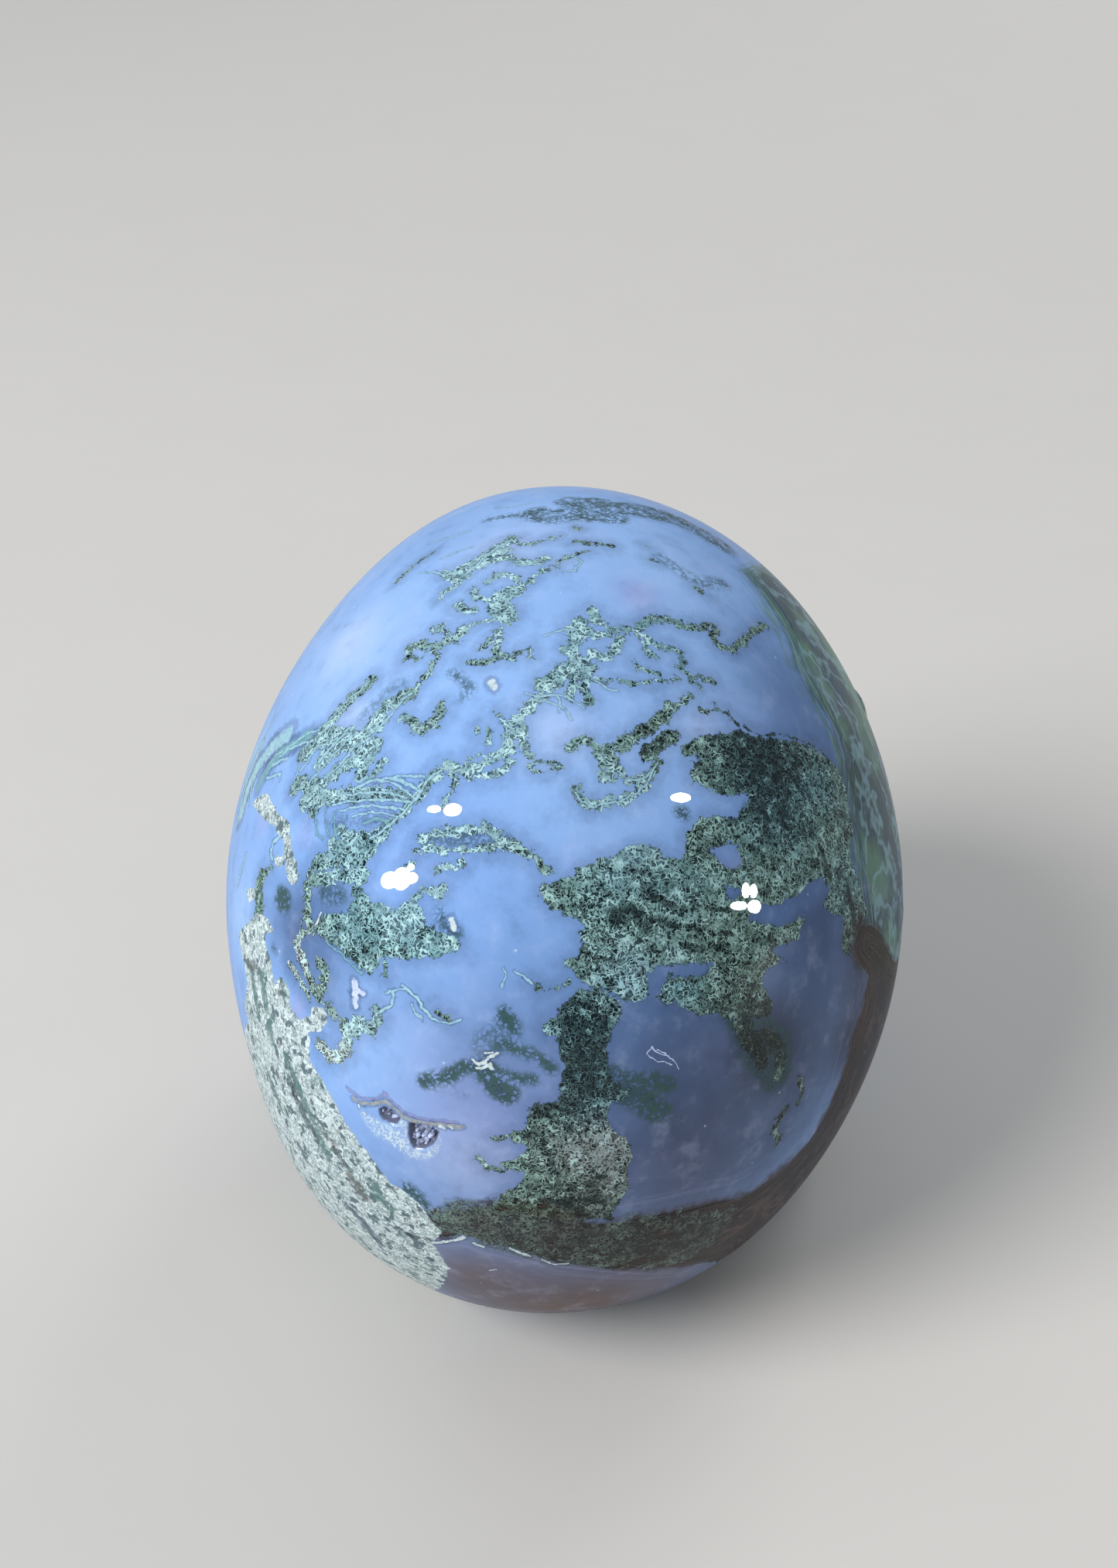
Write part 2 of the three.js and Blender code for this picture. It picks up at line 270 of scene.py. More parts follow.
# Moss that fills an area, by its outline.
BANKS = [
    # The left patch.
    [
        (408, 1186), (420, 1180), (448, 1178), (452, 1166), (460, 1152), (470, 1160), (492, 1168),
        (508, 1178), (516, 1171), (527, 1164), (533, 1154), (540, 1162), (546, 1176), (552, 1192),
        (565, 1200), (578, 1205), (592, 1212), (600, 1222), (592, 1230), (568, 1238), (540, 1240),
        (520, 1242), (494, 1239), (488, 1252), (480, 1260), (466, 1252), (446, 1236), (425, 1219),
        (412, 1207), (402, 1198),
    ],
    # The large bank on the right.
    [
        (693, 1155), (701, 1143), (728, 1136), (742, 1133), (748, 1122), (764, 1117), (772, 1108),
        (800, 1103), (814, 1092), (835, 1091), (848, 1093), (860, 1107), (880, 1110), (887, 1098),
        (884, 1086), (890, 1072), (898, 1062), (906, 1056), (922, 1052), (936, 1057), (952, 1055),
        (960, 1042), (968, 1034), (962, 1026), (942, 1031), (924, 1025), (906, 1018), (893, 1011),
        (889, 999), (896, 984), (903, 976), (884, 978), (880, 966), (892, 954), (910, 950), (936, 946),
        (958, 943), (975, 950), (992, 952), (1012, 954), (1032, 958), (1052, 968), (1070, 980),
        (1086, 996), (1094, 1020), (1098, 1048), (1104, 1075), (1098, 1098), (1102, 1115),
        (1110, 1136), (1116, 1160), (1124, 1180), (1112, 1196), (1106, 1212), (1101, 1232),
        (1090, 1238), (1087, 1220), (1092, 1198), (1086, 1183), (1070, 1179), (1062, 1174),
        (1068, 1158), (1070, 1143), (1058, 1134), (1046, 1142), (1036, 1157), (1018, 1162),
        (1004, 1171), (985, 1173), (972, 1180), (966, 1189), (988, 1192), (1010, 1196), (1026, 1190),
        (1036, 1182), (1044, 1188), (1038, 1200), (1034, 1212), (1020, 1220), (1002, 1224),
        (1000, 1234), (1024, 1240), (1004, 1248), (990, 1258), (984, 1270), (992, 1284),
        (1002, 1300), (998, 1312), (975, 1318), (945, 1322), (926, 1311), (906, 1313), (888, 1306),
        (870, 1298), (860, 1302), (850, 1290), (852, 1276), (864, 1262), (868, 1252), (850, 1250),
        (838, 1258), (838, 1276), (836, 1292), (822, 1298), (806, 1292), (790, 1284), (768, 1279),
        (750, 1270), (738, 1258), (724, 1250), (730, 1242), (746, 1234), (752, 1220), (747, 1208),
        (756, 1198), (744, 1189), (726, 1182), (710, 1174), (700, 1164),
    ],
    # The trunk and the mound below it.
    [
        (748, 1276), (735, 1292), (722, 1300), (717, 1313), (703, 1320), (698, 1332), (706, 1341),
        (720, 1344), (722, 1364), (728, 1380), (724, 1396), (718, 1406), (722, 1420), (704, 1428),
        (690, 1425), (679, 1433), (680, 1448), (678, 1460), (660, 1462), (648, 1470), (660, 1477),
        (680, 1480), (672, 1494), (656, 1501), (640, 1503), (650, 1512), (676, 1516), (672, 1528),
        (652, 1540), (638, 1552), (640, 1566), (700, 1575), (792, 1578), (796, 1560), (806, 1546),
        (816, 1536), (810, 1520), (816, 1504), (819, 1489), (812, 1474), (798, 1464), (788, 1456),
        (786, 1444), (792, 1428), (812, 1418), (814, 1407), (800, 1400), (789, 1390), (786, 1370),
        (788, 1348), (796, 1330), (804, 1312), (800, 1292), (780, 1280),
    ],
]
# Clear stone inside a bank.
WINDOWS = [
    [(920, 1101), (932, 1093), (946, 1089), (955, 1096), (948, 1104), (962, 1114), (954, 1121), (934, 1117)],
    [(860, 1252), (880, 1248), (905, 1246), (922, 1246), (914, 1258), (890, 1262), (868, 1262)],
    [(940, 1146), (958, 1150), (950, 1162), (938, 1158)],
]

# How dense and of what colour moss is: place, reach, share of pale threads, colour.
TONES = [
    ((640, 760), 130, 0.84, "mint"),
    ((620, 725), 70, 0.92, "mint"),
    ((750, 830), 60, 0.8, "teal"),
    ((745, 885), 35, 0.62, "teal"),
    ((850, 840), 70, 0.84, "teal"),
    ((945, 825), 40, 0.5, "sage"),
    ((430, 980), 90, 0.86, "mint"),
    ((490, 935), 40, 0.82, "mint"),
    ((480, 1030), 70, 0.8, "mint"),
    ((470, 1090), 60, 0.64, "teal"),
    ((440, 1130), 50, 0.72, "mint"),
    ((460, 1200), 70, 0.58, "teal"),
    ((540, 1185), 45, 0.95, "mint"),
    ((560, 1222), 40, 0.68, "teal"),
    ((395, 1170), 40, 0.62, "sage"),
    ((335, 1165), 30, 0.66, "fern"),
    ((385, 1240), 35, 0.75, "chalk"),
    ((415, 1260), 25, 0.6, "sage"),
    ((430, 1356), 34, 0.85, "chalk"),
    ((468, 1325), 28, 0.9, "mint"),
    ((640, 985), 60, 1.0, "mint"),
    ((685, 920), 40, 1.0, "mint"),
    ((600, 1085), 80, 0.8, "mint"),
    ((560, 1120), 40, 0.9, "mint"),
    ((800, 1035), 60, 1.0, "mint"),
    ((765, 840), 50, 0.9, "mint"),
    ((840, 945), 45, 0.28, "sage"),
    ((720, 1160), 60, 0.65, "sage"),
    ((800, 1150), 60, 0.54, "teal"),
    ((835, 1105), 40, 0.95, "mint"),
    ((900, 1120), 60, 0.52, "sage"),
    ((880, 1170), 60, 0.56, "teal"),
    ((800, 1195), 30, 0.28, "teal"),
    ((820, 1225), 60, 0.56, "sage"),
    ((810, 1268), 45, 0.62, "mint"),
    ((930, 1215), 60, 0.68, "sage"),
    ((950, 1280), 60, 0.42, "sage"),
    ((880, 1285), 35, 0.5, "teal"),
    ((1010, 1230), 60, 0.5, "sage"),
    ((920, 1065), 40, 0.62, "sage"),
    ((1000, 1080), 60, 0.68, "teal"),
    ((1000, 1130), 50, 0.62, "sage"),
    ((990, 995), 75, -0.08, "teal"),
    ((1060, 1030), 45, 0.42, "teal"),
    ((1070, 1090), 40, 0.6, "sage"),
    ((1095, 1160), 50, 0.5, "teal"),
    ((1100, 1215), 40, 0.4, "sage"),
    ((745, 1330), 50, 0.02, "teal"),
    ((706, 1330), 18, 0.7, "mint"),
    ((755, 1390), 50, 0.02, "teal"),
    ((745, 1430), 50, 0.08, "teal"),
    ((705, 1450), 50, 0.24, "sage"),
    ((770, 1440), 40, 0.12, "teal"),
    ((790, 1480), 40, 0.74, "beige"),
    ((740, 1500), 45, 0.66, "beige"),
    ((780, 1525), 40, 0.6, "beige"),
    ((700, 1540), 50, 0.45, "sage"),
    ((750, 1562), 40, 0.3, "drab"),
    ((985, 1350), 55, -0.1, "drab"),
    ((1020, 1430), 35, 0.35, "drab"),
    ((620, 1582), 60, 0.5, "drab"),
    ((730, 1600), 70, 0.36, "drab"),
    ((860, 1600), 90, 0.2, "drab"),
    ((980, 1570), 100, 0.1, "drab"),
    ((1090, 1420), 110, 0.1, "drab"),
    ((1120, 1270), 80, 0.2, "drab"),
]

# Moss deeper in the stone, seen soft and dark: half width, strength, and points.
DEEP_MOSS = [
    (30, 0.6, [(745, 650), (775, 651), (800, 656), (830, 660), (865, 668), (900, 684), (930, 702)]),
    (24, 0.62, [(692, 664), (715, 668), (740, 664), (765, 666), (790, 668)]),
    (9, 0.6, [(630, 672), (670, 665), (700, 658)]),
    (13, 0.5, [(855, 722), (880, 740), (905, 752), (935, 755)]),
    (9, 0.5, [(585, 868), (608, 890), (600, 900)]),
    (12, 0.35, [(520, 880), (505, 890), (470, 925)]),
    (12, 0.5, [(560, 1084), (600, 1084), (650, 1088)]),
    (14, 0.35, [(430, 1060), (470, 1060), (500, 1050)]),
    (13, 0.6, [(420, 1158), (440, 1158)]),
    (9, 0.7, [(568, 1182), (574, 1196), (590, 1205)]),
    (13, 1.0, [(362, 1160), (368, 1166)]),
    (5, 0.6, [(352, 1222), (357, 1230)]),
    (8, 1.0, [(548, 1398), (562, 1394), (578, 1392), (592, 1385), (604, 1379), (618, 1380)]),
    (13, 1.0, [(624, 1384), (636, 1396), (646, 1410), (656, 1414)]),
    (7, 0.9, [(640, 1384), (656, 1390), (672, 1394), (688, 1396)]),
    (9, 0.95, [(652, 1310), (658, 1320), (664, 1328)]),
    (6, 0.7, [(660, 1330), (664, 1340)]),
    (8, 0.85, [(650, 1348), (666, 1354), (684, 1362)]),
    (7, 0.8, [(690, 1362), (702, 1370), (714, 1382)]),
    (20, 0.5, [(630, 1350), (650, 1335)]),
    (8, 0.3, [(565, 1408), (600, 1416)]),
    (16, 0.85, [(805, 1410), (835, 1426), (852, 1436)]),
    (12, 0.85, [(792, 1390), (820, 1400), (850, 1398), (864, 1404)]),
    (8, 0.4, [(862, 1440), (874, 1452)]),
    (22, 0.9, [(950, 1300), (965, 1335), (985, 1370), (1003, 1390)]),
    (18, 0.9, [(985, 1330), (1010, 1350), (1012, 1385)]),
    (8, 0.7, [(878, 1048), (884, 1052)]),
    (12, 0.5, [(968, 1046), (985, 1050)]),
    (12, 0.7, [(528, 1536), (540, 1548), (546, 1556)]),
]
# Dark seams and hollows inside the moss: half width, strength, and points.
SEAMS = [
    (6, 1.0, [(810, 1126), (824, 1130), (838, 1128)]),
    (5, 1.0, [(832, 1154), (844, 1159), (858, 1167), (870, 1173), (884, 1180)]),
    (9, 0.8, [(796, 1190), (812, 1184), (828, 1186), (834, 1198)]),
    (4, 1.0, [(792, 1178), (806, 1179), (818, 1173)]),
    (4, 1.0, [(842, 1191), (858, 1193), (872, 1198), (890, 1199), (908, 1204)]),
    (5, 0.9, [(918, 1206), (930, 1209), (944, 1206)]),
    (5, 1.0, [(904, 1100), (914, 1097), (922, 1095)]),
    (4, 1.0, [(966, 1092), (974, 1098), (984, 1103)]),
    (6, 1.0, [(1000, 1114), (1001, 1122)]),
    (5, 1.0, [(754, 1222), (758, 1230)]),
    (4, 0.8, [(880, 1176), (900, 1172), (924, 1176), (944, 1178)]),
    (4, 0.7, [(740, 1168), (756, 1172), (772, 1170)]),
    (4, 0.8, [(760, 1244), (780, 1240), (800, 1242)]),
    (5, 0.8, [(880, 1222), (900, 1226), (922, 1224), (944, 1228)]),
    (6, 0.9, [(1046, 1066), (1050, 1082)]),
    (4, 0.9, [(1012, 1070), (1026, 1068)]),
    (5, 0.9, [(1060, 1096), (1066, 1116), (1070, 1130)]),
    (6, 0.9, [(1096, 1150), (1100, 1170), (1104, 1190)]),
    (5, 0.8, [(984, 1046), (992, 1060), (988, 1080)]),
    (5, 0.9, [(560, 1186), (556, 1200), (544, 1206)]),
    (4, 0.9, [(436, 1198), (444, 1204)]),
    (5, 0.9, [(468, 1222), (474, 1230)]),
    (4, 0.8, [(480, 1200), (490, 1206)]),
    (3, 0.9, [(385, 1236), (392, 1252), (400, 1270)]),
    (3, 0.9, [(408, 1246), (408, 1262)]),
    (4, 0.9, [(772, 1520), (784, 1524)]),
    (4, 0.8, [(700, 1470), (712, 1500), (722, 1520)]),
    (6, 0.7, [(720, 1556), (750, 1552), (780, 1552)]),
]
# The olive moss along the right side, whose outline runs on round the side.
SIDE_AREA = [
    (948, 735), (975, 768), (996, 800), (1010, 832), (1020, 862), (1036, 890), (1052, 920),
    (1068, 950), (1080, 980), (1080, 1020), (1084, 1060), (1092, 1090), (1100, 1130), (1108, 1180),
    (1110, 1200), (1114, 1240), (1150, 1280), (1220, 1300), (1220, 990), (1150, 890), (1085, 812),
    (1030, 752), (985, 726),
]

# The pale crust, whose outline runs on round the side.
CRUST_AREAS = [
    [
        (326, 1040), (334, 1030), (346, 1026), (350, 1036), (358, 1050), (362, 1062), (352, 1066),
        (338, 1054),
    ],
    [(356, 1060), (364, 1054), (374, 1066), (374, 1080), (366, 1086), (358, 1078)],
    [(366, 1080), (375, 1080), (377, 1100), (384, 1120), (384, 1140), (374, 1144), (370, 1124), (368, 1100)],
    [(354, 1108), (368, 1106), (370, 1118), (358, 1122)],
    [(318, 1150), (328, 1148), (330, 1160), (322, 1166)],
    [
        (332, 1182), (344, 1186), (354, 1204), (342, 1206), (344, 1228), (350, 1240), (352, 1262),
        (354, 1288), (356, 1268), (364, 1264), (374, 1280), (374, 1300), (384, 1318), (400, 1316),
        (404, 1302), (416, 1302), (424, 1316), (414, 1334), (398, 1332), (400, 1352), (400, 1374),
        (414, 1392), (424, 1412), (436, 1432), (448, 1456), (468, 1482), (486, 1505), (504, 1530),
        (530, 1545),
        (545, 1562), (556, 1578), (570, 1592), (560, 1606), (568, 1622), (580, 1640), (572, 1660),
        (540, 1690), (430, 1640), (330, 1500), (296, 1390), (296, 1345), (318, 1350), (322, 1320),
        (316, 1300), (320, 1270), (314, 1240), (308, 1205), (318, 1196),
    ],
]
# Green and brown inside the crust: half width, colour, points.
CRUST_VEINS = [
    (7, "fern", [(338, 1262), (342, 1290), (348, 1320), (352, 1346)]),
    (6, "fern", [(326, 1262), (330, 1290), (334, 1312)]),
    (7, "fern", [(372, 1372), (384, 1402), (396, 1432), (410, 1464), (424, 1494)]),
    (7, "fern", [(345, 1385), (352, 1402), (362, 1430)]),
    (8, "fern", [(480, 1528), (492, 1550), (505, 1562)]),
    (7, "moss_dark", [(376, 1398), (386, 1424), (398, 1450), (412, 1474)]),
    (3, "umber", [(400, 1436), (412, 1452), (424, 1472), (436, 1492), (446, 1510)]),
    (4, "umber", [(355, 1380), (362, 1396)]),
    (4, "moss_dark", [(505, 1584), (525, 1594), (545, 1602), (560, 1604)]),
    (7, "umber", [(452, 1520), (462, 1535), (470, 1548)]),
    (9, "slate", [(452, 1562), (470, 1580), (490, 1606)]),
    (5, "umber", [(322, 1248), (330, 1250)]),
]

# The olive band round the foot, whose outline runs on round the side. Its dark and brown are partly moss and
# partly a painted reflection of brown surroundings.
BAND_AREAS = [
    [
        (540, 1566), (560, 1566), (580, 1556), (610, 1552), (640, 1552), (700, 1560), (760, 1574),
        (800, 1576), (850, 1568), (900, 1558), (945, 1548), (985, 1528), (1015, 1505), (1044, 1476),
        (1068, 1436), (1086, 1398), (1100, 1345), (1114, 1305), (1122, 1262), (1108, 1246),
        (1100, 1232), (1104, 1206), (1112, 1192), (1126, 1192), (1142, 1210), (1156, 1240),
        (1220, 1290), (1220, 1420),
        (1120, 1600), (960, 1680), (926, 1628), (880, 1640), (830, 1642), (780, 1640), (720, 1636),
        (690, 1626), (650, 1614), (625, 1609), (600, 1600), (575, 1603), (552, 1600), (535, 1588),
    ],
]

# Where moss grows in the band: place and reach.
BAND_MOSS = [
    ((600, 1580), 60),
    ((690, 1595), 75),
    ((790, 1605), 85),
    ((900, 1600), 70),
    ((1088, 1330), 25),
]

# Fine threads, hairlines and flecks: half width, colour, points.
THREADS = [
    # On the crown.
    (1.6, "mint", [(555, 703), (572, 697), (590, 692), (606, 687)]),
    (1.4, "mint", [(540, 742), (552, 740), (562, 739), (576, 745)]),
    (1.2, "mint", [(640, 657), (665, 655), (690, 650)]),
    (1.6, "mint", [(742, 720), (752, 726), (742, 738), (730, 739)]),
    (1.2, "mint", [(703, 822), (715, 817), (728, 814), (741, 815)]),
    (1.4, "mint", [(680, 896), (692, 901), (708, 899), (722, 898), (738, 904), (755, 915)]),
    # The curtain and its fan.
    (1.5, "mint", [(350, 985), (356, 976), (370, 969), (384, 957), (398, 948), (412, 944)]),
    (1.5, "mint", [(380, 1010), (386, 994), (391, 978), (393, 966), (402, 958)]),
    (1.5, "mint", [(312, 1026), (316, 1005), (324, 988), (334, 970), (344, 948), (352, 930)]),
    (1.8, "mint", [(420, 1006), (436, 992), (450, 976), (462, 960)]),
    (1.6, "mint", [(428, 928), (440, 916), (452, 902), (466, 892), (478, 880)]),
    (1.6, "mint", [(486, 944), (500, 930), (512, 916), (524, 902), (532, 896)]),
    (1.8, "mint", [(460, 1018), (475, 1012), (492, 1008), (508, 1004), (526, 1003), (548, 1004)]),
    (1.6, "mint", [(430, 1040), (455, 1036), (480, 1035), (505, 1034), (530, 1036)]),
    (1.4, "mint", [(455, 1056), (476, 1050), (496, 1051), (512, 1055)]),
    (1.6, "teal", [(410, 1042), (408, 1060), (410, 1078), (417, 1085)]),
    (1.5, "teal", [(434, 1048), (432, 1066), (436, 1084)]),
    (1.6, "mint", [(572, 996), (562, 1000), (552, 1010), (546, 1022), (536, 1034), (522, 1050)]),
    (1.6, "mint", [(522, 1050), (508, 1062), (494, 1074), (478, 1084)]),
    # The chain and the hook.
    (1.4, "mint", [(745, 1024), (752, 1036), (766, 1043), (788, 1038), (808, 1034), (824, 1024)]),
    (1.4, "mint", [(824, 1024), (836, 1013), (842, 1000), (849, 986)]),
    # Below the left patch.
    (1.8, "mint", [(488, 1311), (496, 1304), (505, 1300), (509, 1290), (506, 1282)]),
    (1.6, "mint", [(500, 1284), (510, 1280), (522, 1279), (534, 1285), (542, 1295), (550, 1308)]),
    (1.6, "mint", [(550, 1308), (560, 1317), (572, 1321), (584, 1323), (594, 1318)]),
    (1.5, "mint", [(666, 1257), (677, 1262), (688, 1272)]),
    (1.2, "mint", [(650, 1250), (655, 1258), (648, 1276)]),
    (1.4, "chalk", [(415, 1180), (408, 1194)]),
    (1.6, "teal", [(420, 1216), (440, 1232), (456, 1248), (468, 1258)]),
    # The broken white line under the band.
    (2.6, "chalk", [(560, 1607), (574, 1605), (590, 1603), (600, 1599)]),
    (2.0, "chalk", [(612, 1607), (624, 1612)]),
    (2.6, "chalk", [(660, 1614), (672, 1620), (684, 1624)]),
    (1.6, "chalk", [(700, 1628), (716, 1635), (736, 1633)]),
    (1.4, "chalk", [(632, 1642), (642, 1641)]),
    # A healed fracture, and rosy lines.
    (0.9, "veil", [(842, 1354), (850, 1360), (862, 1364), (870, 1372), (878, 1382)]),
    (2.8, "beige", [(456, 1421), (470, 1427), (485, 1426), (499, 1424), (510, 1433), (521, 1444)]),
    (2.8, "beige", [(521, 1444), (536, 1449), (560, 1453), (580, 1455), (598, 1457)]),
    (1.4, "violet_body", [(448, 1405), (460, 1416), (472, 1420), (486, 1421), (498, 1413)]),
    (
        1.4,
        "violet_body",
        [(498, 1413), (506, 1423), (516, 1431), (524, 1439), (538, 1444), (560, 1448), (592, 1451)],
    ),
    (2.2, "chalk", [(568, 1457), (573, 1458)]),
    (1.8, "chalk", [(582, 1456), (585, 1459)]),
    (2.0, "chalk", [(463, 1429), (464, 1431)]),
    (1.6, "chalk", [(469, 1438), (471, 1441)]),
    (2.2, "chalk", [(611, 1370), (618, 1376), (627, 1374)]),
    (2.2, "chalk", [(616, 1381), (626, 1379), (633, 1376), (635, 1383)]),
    (2.2, "chalk", [(624, 1372), (634, 1367), (643, 1362)]),
    (1.6, "chalk", [(628, 1362), (637, 1361)]),
    (2.8, "mint", [(362, 1081), (354, 1088), (350, 1100), (352, 1110)]),
    (2.4, "mint", [(318, 1106), (312, 1124), (306, 1148)]),
    (14.0, "mint", [(372, 950), (350, 968), (332, 992), (320, 1020), (312, 1050)]),
    (9.0, "teal", [(400, 950), (380, 962), (362, 974), (346, 994), (334, 1016)]),
    (7.0, "mint", [(338, 962), (324, 992), (314, 1026), (307, 1062)]),
    (2.6, "mint", [(352, 962), (338, 985), (326, 1014), (322, 1040)]),
    (1.8, "rose", [(1082, 906), (1092, 918), (1100, 934), (1108, 956), (1114, 976), (1124, 1000)]),
    # White flecks.
    (5.5, "chalk", [(635, 882), (637, 888)]),
    (4.5, "chalk", [(583, 1189), (586, 1200)]),
    (5.0, "veil", [(458, 1270), (459, 1284), (459, 1298)]),
    # More of them, in the same places.
    (1.6, "mint", [(570, 722), (590, 714), (610, 707)]),
    (2.2, "mint", [(600, 744), (620, 727), (636, 712), (650, 704), (662, 698)]),
    (1.2, "mint", [(690, 905), (712, 908), (730, 916), (738, 930)]),
    (1.2, "mint", [(770, 880), (784, 890), (800, 894)]),
    (2.0, "mint", [(362, 978), (374, 968), (388, 962), (404, 958)]),
    (1.8, "mint", [(388, 996), (398, 985), (404, 972), (416, 962)]),
    (2.0, "mint", [(345, 1006), (353, 1003), (362, 1000), (362, 1008)]),
    (1.5, "mint", [(326, 1022), (332, 1004), (340, 988)]),
    (1.6, "mint", [(400, 1010), (418, 990), (434, 972), (450, 956), (462, 946)]),
    (1.6, "mint", [(488, 1010), (504, 1011), (518, 1017), (530, 1026), (537, 1034)]),
    (1.5, "mint", [(440, 1048), (462, 1043), (484, 1042), (506, 1044), (522, 1048)]),
    (1.5, "mint", [(436, 1029), (460, 1026), (486, 1024), (508, 1026), (526, 1031)]),
    (1.8, "teal", [(421, 1046), (420, 1062), (424, 1078)]),
    (1.3, "mint", [(798, 996), (812, 1009), (826, 1009), (840, 999)]),
    (1.8, "mint", [(520, 1275), (528, 1281), (538, 1288), (545, 1299), (552, 1308)]),
    (0.8, "veil", [(842, 1366), (850, 1373), (860, 1374), (868, 1378)]),
    (0.8, "veil", [(842, 1355), (838, 1362), (842, 1368)]),
    (3.5, "veil", [(462, 1280), (470, 1285)]),
    (2.4, "mint", [(352, 990), (362, 984), (372, 980)]),
    (2.2, "mint", [(505, 1006), (520, 1010), (534, 1018), (544, 1022)]),
    (1.2, "mint", [(712, 890), (724, 905), (722, 922)]),
    (2.0, "teal", [(470, 1064), (486, 1060), (502, 1060)]),
    (1.6, "mint", [(533, 1298), (537, 1310), (546, 1317)]),
    (0.8, "veil", [(850, 1357), (858, 1359), (866, 1366)]),
    (2.0, "mint", [(412, 985), (426, 968), (440, 954), (452, 940)]),
]

# Clouds in the body of the stone, partly painted light and shade: place, reach, colour and strength.
CLOUDS = [
    # The pale clouds are partly painted light, on the crown and on the side toward the key light.
    ((470, 850), 200, "pale_body", 0.85),
    ((700, 680), 170, "pale_body", 0.7),
    # A painted reflection of a bright window.
    ((452, 830), 50, "veil", 0.5),
    ((860, 740), 120, "pale_body", 0.85),
    ((720, 860), 130, "pale_body", 0.5),
    ((790, 990), 130, "pale_body", 0.55),
    ((750, 1070), 80, "pale_body", 0.3),
    ((920, 890), 80, "pale_body", 0.5),
    # The dark umber cloud is partly a painted reflection of brown surroundings.
    ((990, 1355), 60, "umber_dark_and_reflection", 1.0),
    ((312, 1180), 60, "pale_body", 0.9),
    ((520, 1370), 130, "pale_body", 0.55),
    ((610, 1440), 90, "violet_body", 0.45),
    ((604, 1505), 55, "veil", 0.35),
    ((825, 768), 28, "violet_body", 0.55),
    ((650, 708), 45, "veil", 0.35),
    ((720, 945), 36, "veil", 0.35),
    ((905, 945), 34, "veil", 0.3),
    ((455, 922), 26, "veil", 0.4),
    # The slate and smoke clouds are partly dark stone and partly painted shade, most of all low on the side
    # away from the key light.
    ((670, 1320), 70, "slate", 0.2),
    ((1060, 1200), 80, "slate", 0.8),
    ((960, 1180), 50, "slate", 0.5),
    ((870, 1340), 110, "slate", 0.6),
    ((900, 1470), 170, "smoke_and_shade", 0.85),
    ((1050, 1330), 110, "smoke_and_shade", 0.6),
    ((1010, 880), 90, "slate", 0.35),
    ((1090, 1000), 110, "smoke_and_shade", 0.5),
    # The clay clouds at the foot are partly a painted reflection of brown surroundings.
    ((740, 1690), 230, "clay_and_reflection", 1.0),
    ((610, 1650), 90, "clay_and_reflection", 0.7),
    ((1000, 1600), 140, "clay_and_reflection", 0.85),
    ((1112, 1250), 60, "smoke_and_shade", 0.9),
    ((1100, 1340), 60, "smoke_and_shade", 0.9),
    ((380, 1195), 55, "slate", 0.7),
    ((425, 1265), 55, "slate", 0.4),
    ((530, 1275), 45, "slate", 0.18),
    ((640, 1375), 60, "slate", 0.3),
    ((1015, 1440), 80, "olive", 0.35),
    ((425, 1158), 30, "slate", 0.4),
    ((418, 1216), 22, "slate", 0.3),
    ((385, 1304), 14, "rose", 0.6),
    ((340, 1060), 20, "rose", 0.4),
    ((330, 975), 34, "mint", 0.55),
    ((318, 1020), 34, "mint", 0.55),
    ((395, 1080), 16, "rose", 0.35),
    ((1090, 925), 26, "rose", 0.5),
]

# The little open pocket of crystals, low on the left, and the rim below it, a faint white with painted
# glints.
POCKETS = [
    [
        (528, 1451), (545, 1453), (560, 1457), (568, 1463), (564, 1474), (560, 1480), (548, 1486),
        (535, 1485), (530, 1478), (527, 1466),
    ],
    [
        (489, 1434), (497, 1430), (505, 1434), (518, 1446), (512, 1454), (503, 1452), (495, 1448),
        (490, 1442),
    ],
]
SPARKLE = [
    (464, 1434), (474, 1438), (488, 1448), (502, 1454), (514, 1452), (518, 1446), (528, 1452), (526, 1466),
    (532, 1484), (548, 1488), (562, 1481), (568, 1470), (571, 1478), (563, 1492), (550, 1500), (532, 1497),
    (514, 1486), (498, 1476), (482, 1466), (470, 1450),
]


def linear(red, green, blue):
    """A colour given as it looks on screen, 0 to 255, as the linear values that shaders take."""
    return tuple(
        c / 255 / 12.92 if c / 255 <= 0.04045 else ((c / 255 + 0.055) / 1.055) ** 2.4
        for c in (red, green, blue)
    ) + (1.0,)


def colour_setting(name, description, red, green, blue):
    """A colour that can be changed in the panel."""
    return FloatVectorProperty(
        name=name,
        description=description,
        subtype="COLOR",
        size=4,
        min=0.0,
        max=1.0,
        default=linear(red, green, blue),
    )


def length_setting(name, description, default, least, most, precision=3):
    """A length that can be changed in the panel."""
    return FloatProperty(
        name=name,
        description=description,
        default=default,
        min=least,
        max=most,
        unit="LENGTH",
        precision=precision,
    )


def amount_setting(name, description, default, most, unit="NONE"):
    """A power or a strength that can be changed in the panel."""
    return FloatProperty(
        name=name, description=description, default=default, min=0.0, max=most, unit=unit
    )


CAD_LOW, CAD_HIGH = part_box("skull")


class CarvingSizes(PropertyGroup):
    """Sizes of the carving."""

    width: length_setting("Width", "Across the head", CAD_HIGH[0] - CAD_LOW[0], 0.02, 0.3)
    length: length_setting(
        "Length", "From the face to the back of the head", CAD_HIGH[1] - CAD_LOW[1], 0.02, 0.3
    )
    height: length_setting(
        "Height", "From the cut base to the crown", CAD_HIGH[2] - CAD_LOW[2], 0.02, 0.3
    )
    thread: length_setting(
        "Moss Threads", "Distance between neighbouring curls of moss", 0.00048, 0.0001, 0.003, 5
    )
    pocket_depth: length_setting(
        "Pocket Depth", "Depth of the little pocket of crystals", 0.0009, 0.0, 0.002, 5
    )
    crystal: length_setting(
        "Crystal Length", "Length of the longest crystals in the pocket", 0.0008, 0.0002, 0.002, 5
    )


